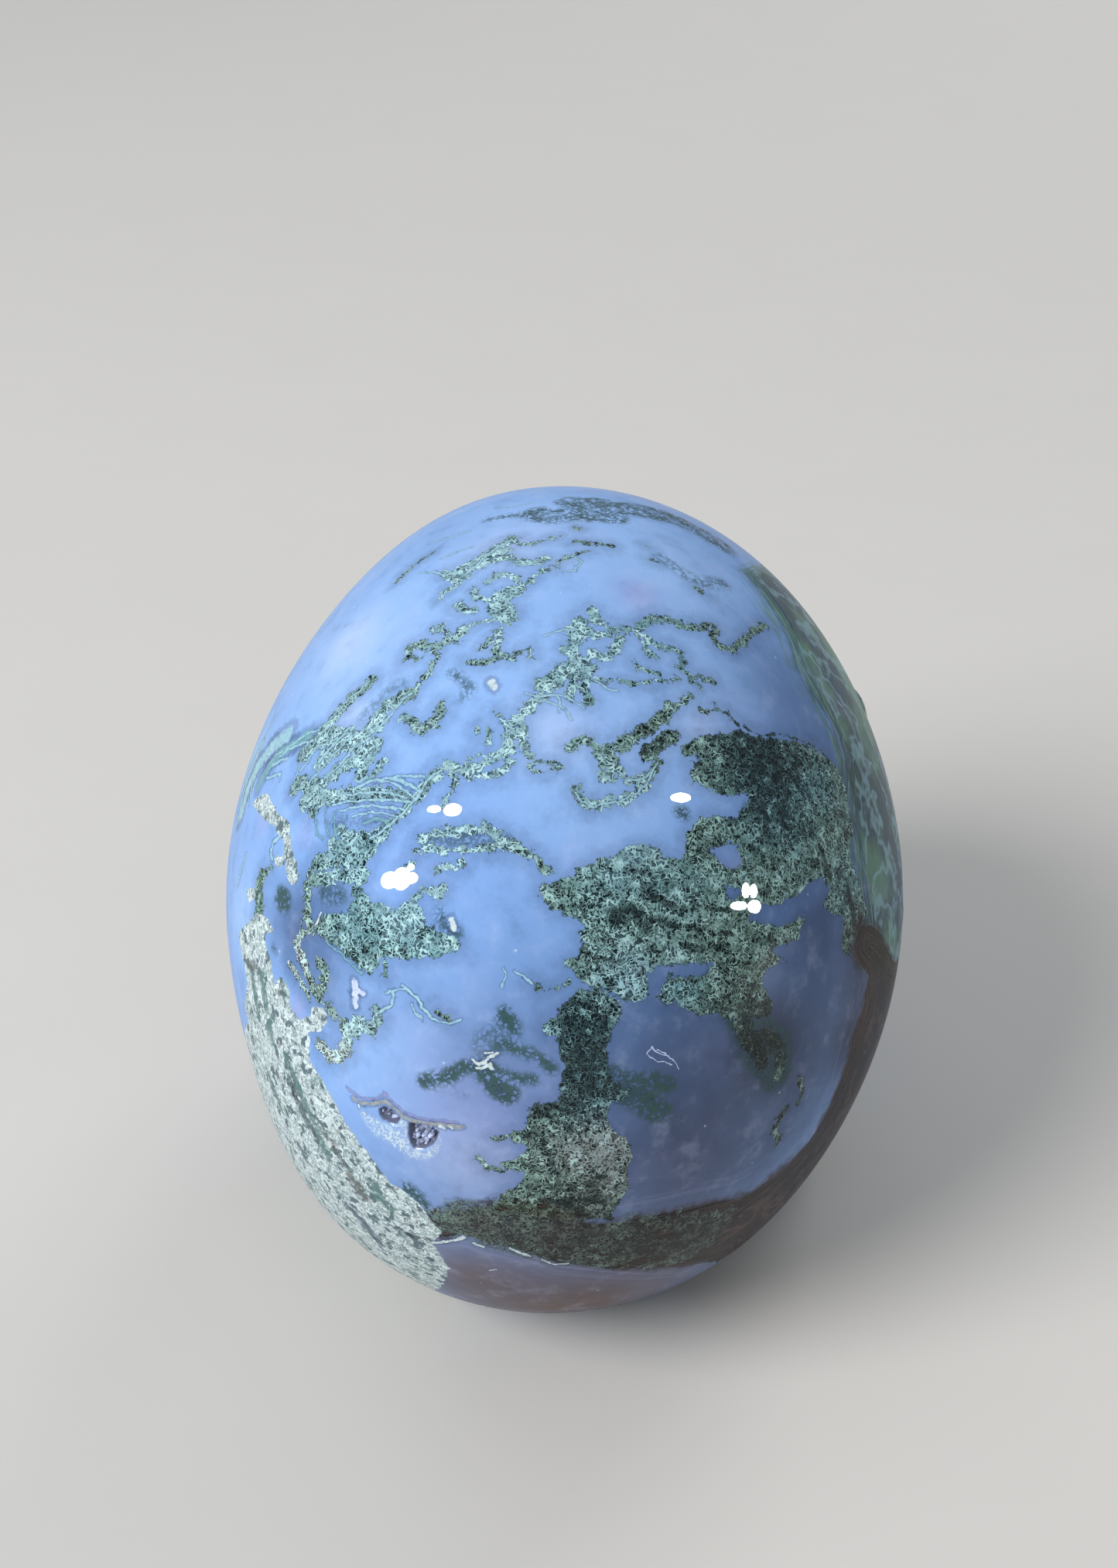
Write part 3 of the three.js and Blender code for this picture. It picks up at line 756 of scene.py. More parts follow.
class StoneColours(PropertyGroup):
    """Colours of the stone."""

    body: colour_setting("Body", "Milky blue of the clear stone", 119, 157, 212)
    # Pale Body is partly the stone's pale blue and partly painted light, on the crown and on the side toward
    # the key light.
    pale_body: colour_setting("Pale Body", "Lightest blue clouds", 146, 182, 230)
    violet_body: colour_setting("Violet Body", "Warmer clouds, low at the back", 138, 140, 192)
    # Slate is partly dark blue stone and partly painted shade: the painted shadow round the moss and its
    # threads, and the dark clouds on the side away from the key light.
    slate: colour_setting("Slate", "Dark blue stone in front of deep moss", 46, 62, 98)
    # Smoke is partly dark grey stone and partly painted shade, low on the side away from the key light.
    smoke_and_shade: colour_setting("Smoke", "Dark grey stone, low on one side", 50, 54, 76)
    # Clay is partly brownish stone and partly a painted reflection of brown surroundings, at the foot.
    clay_and_reflection: colour_setting("Clay", "Brownish grey stone at the foot", 96, 78, 70)
    veil: colour_setting("Veil", "Whitish veils and hairlines", 190, 204, 236)
    rose: colour_setting("Rose", "Rosy brown lines", 150, 154, 200)
    mint: colour_setting("Mint Moss", "Palest moss threads", 150, 192, 206)
    frost: colour_setting("Frost", "Bright tips of the palest moss threads", 186, 222, 222)
    teal: colour_setting("Teal Moss", "Bluish moss threads", 112, 160, 170)
    sage: colour_setting("Sage Moss", "Grey-green moss threads", 124, 158, 146)
    beige: colour_setting("Beige Moss", "Brownish grey moss threads", 150, 156, 156)
    drab: colour_setting("Drab Moss", "Dull moss low down", 88, 92, 80)
    fern: colour_setting("Fern", "Green veins in the crust", 88, 132, 120)
    # Moss Shade colours the gaps between the threads, and with Deep Moss also the painted shadow round them.
    moss_dark: colour_setting("Moss Shade", "Gaps between moss threads", 8, 21, 25)
    deep_moss: colour_setting("Deep Moss", "Moss seen through the stone", 28, 47, 52)
    chalk: colour_setting("Chalk", "White crust", 200, 216, 218)
    crust_shade: colour_setting("Crust Shade", "Gaps between the curls of the crust", 66, 88, 98)
    umber: colour_setting("Umber", "Brown flecks in the crust", 104, 92, 80)
    # Olive and Dark Umber are partly moss and partly a painted reflection of brown surroundings, in the band
    # round the foot. Olive also colours the painted shadow round the curls there.
    olive: colour_setting("Olive Band", "Dark band round the foot", 18, 16, 10)
    umber_dark_and_reflection: colour_setting("Dark Umber", "Brown in the band round the foot", 44, 32, 20)
    side: colour_setting("Side Olive", "Streaky olive moss along one side", 78, 116, 84)
    side_dark: colour_setting("Dark Side Olive", "Shade in the streaky moss along one side", 34, 58, 48)
    crystal: colour_setting("Crystals", "Crystals in the little pocket", 100, 106, 130)


class StudioSettings(PropertyGroup):
    """The floor and the lights."""

    floor_colour: colour_setting("Floor", "Plain pale floor", 206, 203, 198)
    floor_size: length_setting("Floor Size", "Side of the square floor", 6.0, 1.0, 20.0)
    key_power: amount_setting(
        "Key Power", "Power of the large soft light on the left", 24.0, 200.0, "POWER"
    )
    fill_power: amount_setting(
        "Fill Power", "Power of the soft light on the face side", 7.0, 200.0, "POWER"
    )
    sky: amount_setting("Sky", "Strength of the even light from all round", 0.45, 3.0)
    light_distance: length_setting(
        "Small Light Distance",
        "Distance to the small lights that are mirrored in the polish",
        0.7,
        0.3,
        3.0,
    )


# ---------------------------------------------------------------------------------------------
# The form.
# ---------------------------------------------------------------------------------------------


def to_ellipsoid(points, centre, half, turns=(0, 0)):
    """Distance from points to an ellipsoid that may be turned about Z and then about Y."""
    away = points - np.array(centre, float)
    about_z, about_y = np.radians(turns)
    x, y, z = away[:, 0], away[:, 1], away[:, 2]
    x, y = x * np.cos(about_z) + y * np.sin(about_z), y * np.cos(about_z) - x * np.sin(about_z)
    x, z = x * np.cos(about_y) - z * np.sin(about_y), z * np.cos(about_y) + x * np.sin(about_y)
    away = np.stack([x, y, z], -1)
    half = np.array(half, float)
    near = np.linalg.norm(away / half, axis=1)
    slope = np.linalg.norm(away / half**2, axis=1)
    return near * (near - 1) / np.maximum(slope, 1e-9)


def to_ridge(points, start, end, radius):
    """Distance from points to a rounded ridge."""
    start, end = np.array(start, float), np.array(end, float)
    along = end - start
    share = np.clip((points - start) @ along / (along @ along), 0, 1)
    return np.linalg.norm(points - start - share[:, None] * along, axis=1) - radius


def soft_min(a, b, blend):
    """The smaller of two distances, rounded where they are alike."""
    near = np.maximum(blend - np.abs(a - b), 0) / blend
    return np.minimum(a, b) - near * near * blend / 4


def to_cranium(points):
    """Distance from points to the smooth egg of the cranium."""
    rise = (points[:, 2] - CRANIUM_CENTRE[2]) / CRANIUM_HALF_HEIGHT
    slimmed = points.copy()
    slimmed[:, 0] = points[:, 0] / (1 - SLIMMER_TO_THE_CROWN * rise)
    distance = to_ellipsoid(slimmed, CRANIUM_CENTRE, CRANIUM_HALF)
    for centre, reach, swell in HAND_CUT:
        away = np.linalg.norm(points - np.array(centre, float), axis=1) / reach
        distance = distance - swell * np.exp(-away * away)
    return distance


def to_tooth(points, turn, height, half):
    """Distance from points to one squarish tooth on the arch."""
    x = points[:, 0] - ARCH_CENTRE[0] - ARCH_HALF[0] * math.sin(turn)
    y = points[:, 1] - ARCH_CENTRE[1] + ARCH_HALF[1] * math.cos(turn)
    z = points[:, 2] - height
    x, y = x * math.cos(turn) + y * math.sin(turn), y * math.cos(turn) - x * math.sin(turn)
    away = np.abs(np.stack([x / half[0], y / half[1], z / half[2]], -1))
    power = TOOTH_SQUARENESS
    return ((away**power).sum(1) ** (1 / power) - 1) * min(half)


def to_carving(points):
    """Distance from points to the whole carving, negative inside."""
    mirrored = points.copy()
    mirrored[:, 0] = np.abs(points[:, 0])
    distance = to_cranium(points)
    for centre, half, turns, blend in HOLLOWS:
        distance = -soft_min(-distance, to_ellipsoid(mirrored, centre, half, turns), blend)
    for centre, half, turns, blend in MASSES:
        distance = soft_min(distance, to_ellipsoid(mirrored, centre, half, turns), blend)
    for start, end, radius, blend in RIDGES:
        distance = soft_min(distance, to_ridge(mirrored, start, end, radius), blend)
    for centre, half, turns, blend in SOCKETS:
        distance = -soft_min(-distance, to_ellipsoid(mirrored, centre, half, turns), blend)
    for height, half in TOOTH_ROWS:
        for tooth in range(TEETH_PER_SIDE):
            turn = math.radians((tooth + 0.5) * TOOTH_STEP)
            distance = soft_min(distance, to_tooth(mirrored, turn, height, half), TOOTH_BLEND)
    return -soft_min(-distance, points[:, 2], BASE_ROUNDING)


def slope_of(distance_to, points):
    """Unit outward directions of a surface at points."""
    step = np.eye(3) * 0.3
    slope = np.stack([distance_to(points + s) - distance_to(points - s) for s in step], -1)
    return slope / np.maximum(np.linalg.norm(slope, axis=1, keepdims=True), 1e-9)


def on_box(box, corners):
    """The points of one of the two boxes that belong to corners of the net."""
    u, v, w = corners[:, 0], corners[:, 1], corners[:, 2]
    deep, high = (v + 1) / 2, (w + 1) / 2
    x = u * (box["half"][0] * (1 - deep) + box["half"][1] * deep)
    shares = ((1 - deep) * (1 - high), (1 - deep) * high, deep * (1 - high), deep * high)
    y = sum(share * edge[0] for share, edge in zip(shares, box["edges"]))
    z = sum(share * edge[1] for share, edge in zip(shares, box["edges"]))
    swell = deep * (1 - u * u) * (1 - w * w)
    y = y + box["bulge"][0] * swell
    z = z + box["bulge"][1] * swell
    return np.stack([x, y, z], -1)


def carve(corners):
    """Moves corners of the net, a box from -1 to 1, onto the carving, in millimetres."""
    start = on_box(INNER, corners)
    heading = on_box(OUTER, corners) - start
    heading /= np.linalg.norm(heading, axis=1, keepdims=True)
    gone = np.full(len(start), REACH)
    for _ in range(TRACE_STEPS):
        gone = np.maximum(gone - TRACE_SHARE * to_carving(start + heading * gone[:, None]), 0.0)
    return start + heading * gone[:, None]


# ---------------------------------------------------------------------------------------------
# The photograph's camera, and places on the stone.
# ---------------------------------------------------------------------------------------------


def camera_axes():
    """The camera's place, in millimetres, and its right, up and forward directions."""
    turn, rise = math.radians(CAMERA_TURN), math.radians(CAMERA_RISE)
    back = np.array([math.sin(turn) * math.cos(rise), math.cos(turn) * math.cos(rise), math.sin(rise)])
    ahead = -back
    right = np.cross(ahead, (0, 0, 1))
    right /= np.linalg.norm(right)
    up = np.cross(right, ahead)
    aim = np.array([0, 0, AIM_HEIGHT]) - right * AIM_ASIDE / FOCAL_PX * CAMERA_DISTANCE
    return aim + back * CAMERA_DISTANCE, right, up, ahead


def to_photo(points):
    """Where points of the stone, in millimetres, are seen in the photograph, in its pixels."""
    place, right, up, ahead = camera_axes()
    away = points - place
    depth = away @ ahead
    x = PHOTO_SIZE[0] / 2 + away @ right / depth * FOCAL_PX
    y = PHOTO_SIZE[1] / 2 - away @ up / depth * FOCAL_PX
    return np.stack([x, y], -1)


def from_photo(pixels):
    """The points of the stone, in millimetres, that are seen at pixels of the photograph."""
    place, right, up, ahead = camera_axes()
    pixels = np.array(pixels, float)
    heading = (
        ahead
        + np.outer((pixels[:, 0] - PHOTO_SIZE[0] / 2) / FOCAL_PX, right)
        - np.outer((pixels[:, 1] - PHOTO_SIZE[1] / 2) / FOCAL_PX, up)
    )
    heading /= np.linalg.norm(heading, axis=1, keepdims=True)
    gone = np.full(len(pixels), CAMERA_DISTANCE - 80.0)
    for _ in range(TRACE_STEPS):
        gone += TRACE_SHARE * np.clip(to_cranium(place + heading * gone[:, None]), -2, 5)
        gone = np.minimum(gone, CAMERA_DISTANCE + 10.0)
    return place + heading * gone[:, None]


def facing_photo(points):
    """How much the stone faces the photograph's camera: 1 straight on, 0 at its outline."""
    towards = camera_axes()[0] - points
    towards /= np.linalg.norm(towards, axis=1, keepdims=True)
    return (slope_of(to_cranium, points) * towards).sum(1)


# ---------------------------------------------------------------------------------------------
# From the tables of markings to numbers at each point of the mesh.
# ---------------------------------------------------------------------------------------------

# Distances are stored up to this many millimetres.
FAR = 5.0
# How many strokes can overlap at one place, and how far beyond its edge each is drawn, in
# millimetres.
SPRAY_LAYERS = 3
SPRAY_REACH = 3.4
THREAD_LAYERS = 4
THREAD_REACH = 0.9
TONE_STRENGTH = 0.9
POCKET_WALL = 0.35


def segments_of(strokes):
    """The straight pieces of strokes on the stone, each with the rest of its stroke's facts."""
    for stroke in strokes:
        path = from_photo(stroke[-1])
        for start, end in zip(path[:-1], path[1:]):
            yield (start, end) + tuple(stroke[:-1])


def offsets_to(points, start, end):
    """The points within reach of a straight piece, and the ways from them to it."""
    middle = (start + end) / 2
    reach = np.linalg.norm(end - start) / 2 + FAR
    near = np.flatnonzero(np.abs(points - middle).max(1) < reach)
    along = end - start
    share = np.clip((points[near] - start) @ along / max(along @ along, 1e-9), 0, 1)
    return near, start + share[:, None] * along - points[near]


def lay_strokes(mesh, points, normals, name, strokes, layers, reach, colours=None):
    """Finds the stroke pieces nearest to each face, one in each layer, and stores for the face's
    corners how far they are aside and along, the piece's half length, half width and colour. All
    of these change evenly across a face, so fine lines stay sharp.
    """
    vertex = np.zeros(len(mesh.loops), int)
    mesh.loops.foreach_get("vertex_index", vertex)
    sides = np.zeros(len(mesh.polygons), int)
    mesh.polygons.foreach_get("loop_total", sides)
    face_of = np.repeat(np.arange(len(sides)), sides)
    middles = np.stack([np.bincount(face_of, points[vertex, axis]) for axis in range(3)], -1)
    middles /= sides[:, None]

    pieces = list(segments_of(strokes))
    found = []
    for number, (start, end, half_width, *_) in enumerate(pieces):
        near, way = offsets_to(middles, start, end)
        away = np.linalg.norm(way, axis=1) - half_width * PIXEL
        close = away < reach
        found.append(np.stack([near[close], away[close], np.full(close.sum(), number)], -1))
    found = np.concatenate(found)
    found = found[np.lexsort((found[:, 1], found[:, 0]))]
    faces, numbers = found[:, 0].astype(int), found[:, 2].astype(int)
    rank = np.arange(len(faces)) - np.searchsorted(faces, faces)

    starts = np.array([piece[0] for piece in pieces])
    along = np.array([piece[1] - piece[0] for piece in pieces])
    lengths = np.maximum(np.linalg.norm(along, axis=1), 1e-6)
    widths = np.array([piece[2] * PIXEL for piece in pieces])
    for layer in range(layers):
        piece_of = np.full(len(sides), -1)
        piece_of[faces[rank == layer]] = numbers[rank == layer]
        corners = np.flatnonzero(piece_of[face_of] >= 0)
        piece = piece_of[face_of[corners]]
        heading = along[piece] / lengths[piece][:, None]
        way = points[vertex[corners]] - starts[piece]
        ways = np.full((len(vertex), 3), (FAR, 0.0, 0.0))
        ways[corners, 0] = (way * np.cross(heading, normals[vertex[corners]])).sum(1)
        ways[corners, 1] = (way * heading).sum(1) - lengths[piece] / 2
        ways[corners, 2] = lengths[piece] / 2
        half_widths = np.full(len(vertex), PIXEL)
        half_widths[corners] = widths[piece]
        add_numbers(mesh, f"{name}_{layer}_way", ways, "CORNER")
        add_numbers(mesh, f"{name}_{layer}_width", half_widths, "CORNER")
        if colours:
            tints = np.ones((len(vertex), 4))
            tints[corners] = np.array([getattr(colours, p[3])[:] for p in pieces])[piece]
            add_numbers(mesh, f"{name}_{layer}_colour", tints, "CORNER")


def seen_from_camera(points):
    """The pixels at which points are seen, how much they face the camera, and which way in the
    picture the stone leans away there.
    """
    _, right, up, _ = camera_axes()
    normals = slope_of(to_cranium, points)
    lean = np.stack([normals @ right, -(normals @ up)], -1)
    lean /= np.maximum(np.linalg.norm(lean, axis=1, keepdims=True), 1e-9)
    return to_photo(points), facing_photo(points), lean


def area_distance(seen, outline, runs_on=False):
    """Distance from points to an area given by its outline in the photograph, negative inside.
    An outline that runs on also marks the stone behind the visible edge.
    """
    pixels, facing, lean = seen
    corners = np.array(outline, float)
    least = np.full(len(pixels), 1e9)
    nearest = np.zeros((len(pixels), 2))
    inside = np.zeros(len(pixels), bool)
    x, y = pixels[:, 0], pixels[:, 1]
    for (x0, y0), (x1, y1) in zip(corners, np.roll(corners, -1, axis=0)):
        along = np.array([x1 - x0, y1 - y0])
        share = np.clip(((x - x0) * along[0] + (y - y0) * along[1]) / (along @ along), 0, 1)
        way = np.stack([x0 + share * along[0] - x, y0 + share * along[1] - y], -1)
        length = np.hypot(way[:, 0], way[:, 1])
        closer = length < least
        least[closer] = length[closer]
        nearest[closer] = way[closer]
        crosses = (y0 > y) != (y1 > y)
        if y1 != y0:
            inside ^= crosses & (x < x0 + (y - y0) / (y1 - y0) * (x1 - x0))
    outward = (nearest * lean).sum(1)
    sideways = nearest[:, 0] * lean[:, 1] - nearest[:, 1] * lean[:, 0]
    distance = np.hypot(outward / np.clip(np.abs(facing), 0.2, 1), sideways) * PIXEL
    distance = np.clip(np.where(inside, -distance, distance), -FAR, FAR)
    return distance if runs_on else np.where(facing > 0, distance, FAR)


def spread(points, entries, start):
    """Goes through soft round entries, each a place, reach, strength and value, in their order."""
    result = np.tile(np.atleast_1d(np.array(start, float)), (len(points), 1))
    centres = from_photo([entry[0] for entry in entries])
    for centre, (_, reach, strength, value) in zip(centres, entries):
        away = np.linalg.norm(points - centre, axis=1) / (reach * PIXEL)
        share = strength * np.exp(-away * away)
        result += share[:, None] * (np.atleast_1d(np.array(value, float)) - result)
    return result


def add_numbers(mesh, name, values, domain="POINT"):
    """Stores a number, a vector or a colour for each point or corner, for the shader to read."""
    values = np.asarray(values, np.float32)
    size = 1 if values.ndim == 1 else values.shape[1]
    kind, field = {1: ("FLOAT", "value"), 3: ("FLOAT_VECTOR", "vector"), 4: ("FLOAT_COLOR", "color")}[size]
    layer = mesh.attributes.new(name, kind, domain)
    layer.data.foreach_set(field, values.ravel())


def mark(mesh, points, colours):
    """Works out all markings at the points of the mesh, and stores them on it."""
    seen = seen_from_camera(points)
    normals = slope_of(to_cranium, points)
    lay_strokes(mesh, points, normals, "spray", SPRAYS, SPRAY_LAYERS, SPRAY_REACH)
    lay_strokes(mesh, points, normals, "thread", THREADS, THREAD_LAYERS, THREAD_REACH, colours)

    moss = np.full(len(points), FAR)
    for outline in BANKS:
        moss = np.minimum(moss, area_distance(seen, outline))
    for outline in WINDOWS:
        moss = np.maximum(moss, -area_distance(seen, outline))
    add_numbers(mesh, "moss", moss)

    tones = [(place, reach, TONE_STRENGTH, cover) for place, reach, cover, _ in TONES]
    add_numbers(mesh, "moss_cover", spread(points, tones, 0.5)[:, 0])
    tones = [
        (place, reach, TONE_STRENGTH, getattr(colours, colour)) for place, reach, _, colour in TONES
    ]
    add_numbers(mesh, "moss_colour", spread(points, tones, colours.sage))

    for name, strokes, softness in (("deep", DEEP_MOSS, 1.2), ("seam", SEAMS, 0.5)):
        share = np.zeros(len(points))
        for start, end, half_width, strength in segments_of(strokes):
            near, offset = offsets_to(points, start, end)
            distance = np.linalg.norm(offset, axis=1) - half_width * PIXEL
            share[near] = np.maximum(share[near], strength * np.clip(0.5 - distance / softness, 0, 1))
        add_numbers(mesh, name, share)
    add_numbers(mesh, "side", area_distance(seen, SIDE_AREA, True))

    crust = np.full(len(points), FAR)
    for outline in CRUST_AREAS:
        crust = np.minimum(crust, area_distance(seen, outline, True))
    add_numbers(mesh, "crust", crust)
    vein = np.full(len(points), FAR)
    vein_colour = np.tile(np.array(colours.fern), (len(points), 1))
    for start, end, half_width, colour in segments_of(CRUST_VEINS):
        near, offset = offsets_to(points, start, end)
        distance = np.linalg.norm(offset, axis=1) - half_width * PIXEL
        closer = distance < vein[near]
        vein[near[closer]] = distance[closer]
        vein_colour[near[closer]] = getattr(colours, colour)
    add_numbers(mesh, "vein", vein)
    add_numbers(mesh, "vein_colour", vein_colour)

    band = np.full(len(points), FAR)
    for outline in BAND_AREAS:
        band = np.minimum(band, area_distance(seen, outline, True))
    add_numbers(mesh, "band", band)
    grown = [(place, reach, 1.0, 1.0) for place, reach in BAND_MOSS]
    add_numbers(mesh, "band_moss", spread(points, grown, 0.0)[:, 0])

    clouds = [(place, reach, share, getattr(colours, colour)) for place, reach, colour, share in CLOUDS]
    add_numbers(mesh, "body", spread(points, clouds, colours.body))
    add_numbers(mesh, "unseen", np.clip(0.5 - seen[1] / 0.35, 0, 1))
    pocket = np.minimum(*[area_distance(seen, outline) for outline in POCKETS])
    add_numbers(mesh, "pocket", pocket)
    add_numbers(mesh, "sparkle", area_distance(seen, SPARKLE))


# ---------------------------------------------------------------------------------------------
# Materials.
# ---------------------------------------------------------------------------------------------


class Value:
    """A socket of a shader. Maths written on it adds the nodes for it."""

    def __init__(self, shader, socket):
        self.shader = shader
        self.socket = socket

    def maths(self, operation, *values):
        return self.shader.add("ShaderNodeMath", {"operation": operation}, dict(enumerate(values)))

    def __add__(self, other):
        return self.maths("ADD", self, other)

    def __radd__(self, other):
        return self.maths("ADD", other, self)

    def __sub__(self, other):
        return self.maths("SUBTRACT", self, other)

    def __rsub__(self, other):
        return self.maths("SUBTRACT", other, self)

    def __mul__(self, other):
        return self.maths("MULTIPLY", self, other)

    def __rmul__(self, other):
        return self.maths("MULTIPLY", other, self)

    def __truediv__(self, other):
        return self.maths("DIVIDE", self, other)

    def __rtruediv__(self, other):
        return self.maths("DIVIDE", other, self)

    def __abs__(self):
        return self.maths("ABSOLUTE", self)

    def root(self):
        return self.maths("SQRT", self)

    def least(self, other):
        return self.maths("MINIMUM", self, other)

    def most(self, other):
        return self.maths("MAXIMUM", self, other)

    def fade(self, none, full):
        """Goes smoothly from 0, where this value is none, to 1, where it is full."""
        settings = {"interpolation_type": "SMOOTHSTEP", "clamp": True}
        inputs = {"Value": self, "From Min": none, "From Max": full, "To Min": 0.0, "To Max": 1.0}
        return self.shader.add("ShaderNodeMapRange", settings, inputs)


class Shader:
    """The nodes of one material."""

    def __init__(self, name):
        self.material = bpy.data.materials.new(name)
        self.material.use_nodes = True
        self.tree = self.material.node_tree
        self.tree.nodes.clear()

    def node(self, kind, settings=None, inputs=None):
        """Adds a node of any kind, sets it up, and fills or links its inputs."""
        node = self.tree.nodes.new(kind)
        for name, value in (settings or {}).items():
            setattr(node, name, value)
        for name, value in (inputs or {}).items():
            socket = node.inputs[name]
            if isinstance(value, Value):
                self.tree.links.new(value.socket, socket)
            else:
                socket.default_value = value
        return node

    def add(self, kind, settings=None, inputs=None, output=0):
        """Adds a node and gives one of its outputs as a value."""
        return Value(self, self.node(kind, settings, inputs).outputs[output])

    def attribute(self, name, output="Fac"):
        return self.add("ShaderNodeAttribute", {"attribute_name": name}, output=output)

    def noise(self, vector, scale, detail=2.0, roughness=0.5, output=0, **inputs):
        inputs.update({"Vector": vector, "Scale": scale, "Detail": detail, "Roughness": roughness})
        return self.add("ShaderNodeTexNoise", None, inputs, output)

    def cells(self, vector, scale, feature="F1", output="Distance"):
        inputs = {"Vector": vector, "Scale": scale}
        return self.add("ShaderNodeTexVoronoi", {"feature": feature}, inputs, output)

    def mix(self, share, first, second, blend="MIX"):
        """Mixes two colours."""
        settings = {"data_type": "RGBA", "blend_type": blend, "clamp_factor": True}
        return self.add("ShaderNodeMix", settings, {0: share, 6: first, 7: second}, 2)

    def move(self, vector, offset):
        return self.add("ShaderNodeVectorMath", {"operation": "ADD"}, {0: vector, 1: offset})

    def stretch(self, vector, scale):
        return self.add("ShaderNodeVectorMath", {"operation": "SCALE"}, {0: vector, "Scale": scale})

    def scale(self, vector, scales):
        return self.add("ShaderNodeVectorMath", {"operation": "MULTIPLY"}, {0: vector, 1: scales})

    def part(self, vector, axis):
        return self.add("ShaderNodeSeparateXYZ", None, {"Vector": vector}, axis)

    def surface(self, inputs):
        """Finishes the material with its surface."""
        finish = self.node("ShaderNodeBsdfPrincipled", None, inputs)
        self.node("ShaderNodeOutputMaterial", None, {"Surface": Value(self, finish.outputs[0])})
        return self.material


# Three layers of curling moss threads, back to front: shift, fineness, thickness, how much they
# depend on the cover, and the least and most that they have of the full colour.
MOSS_LAYERS = [
    ((0, 0, 0), 0.75, 0.08, 0.08, 0.14, 0.36),
    ((7, 3, 5), 0.88, 0.065, 0.1, 0.4, 0.7),
    ((3, 9, 2), 1.0, 0.055, 0.12, 0.76, 1.0),
]
CRUST_COARSENESS = 1.35
QUARTZ_IOR = 1.54
# Noise colours lie round the middle grey, and this centres them on nothing.
CENTRED = (-0.5, -0.5, -0.5)


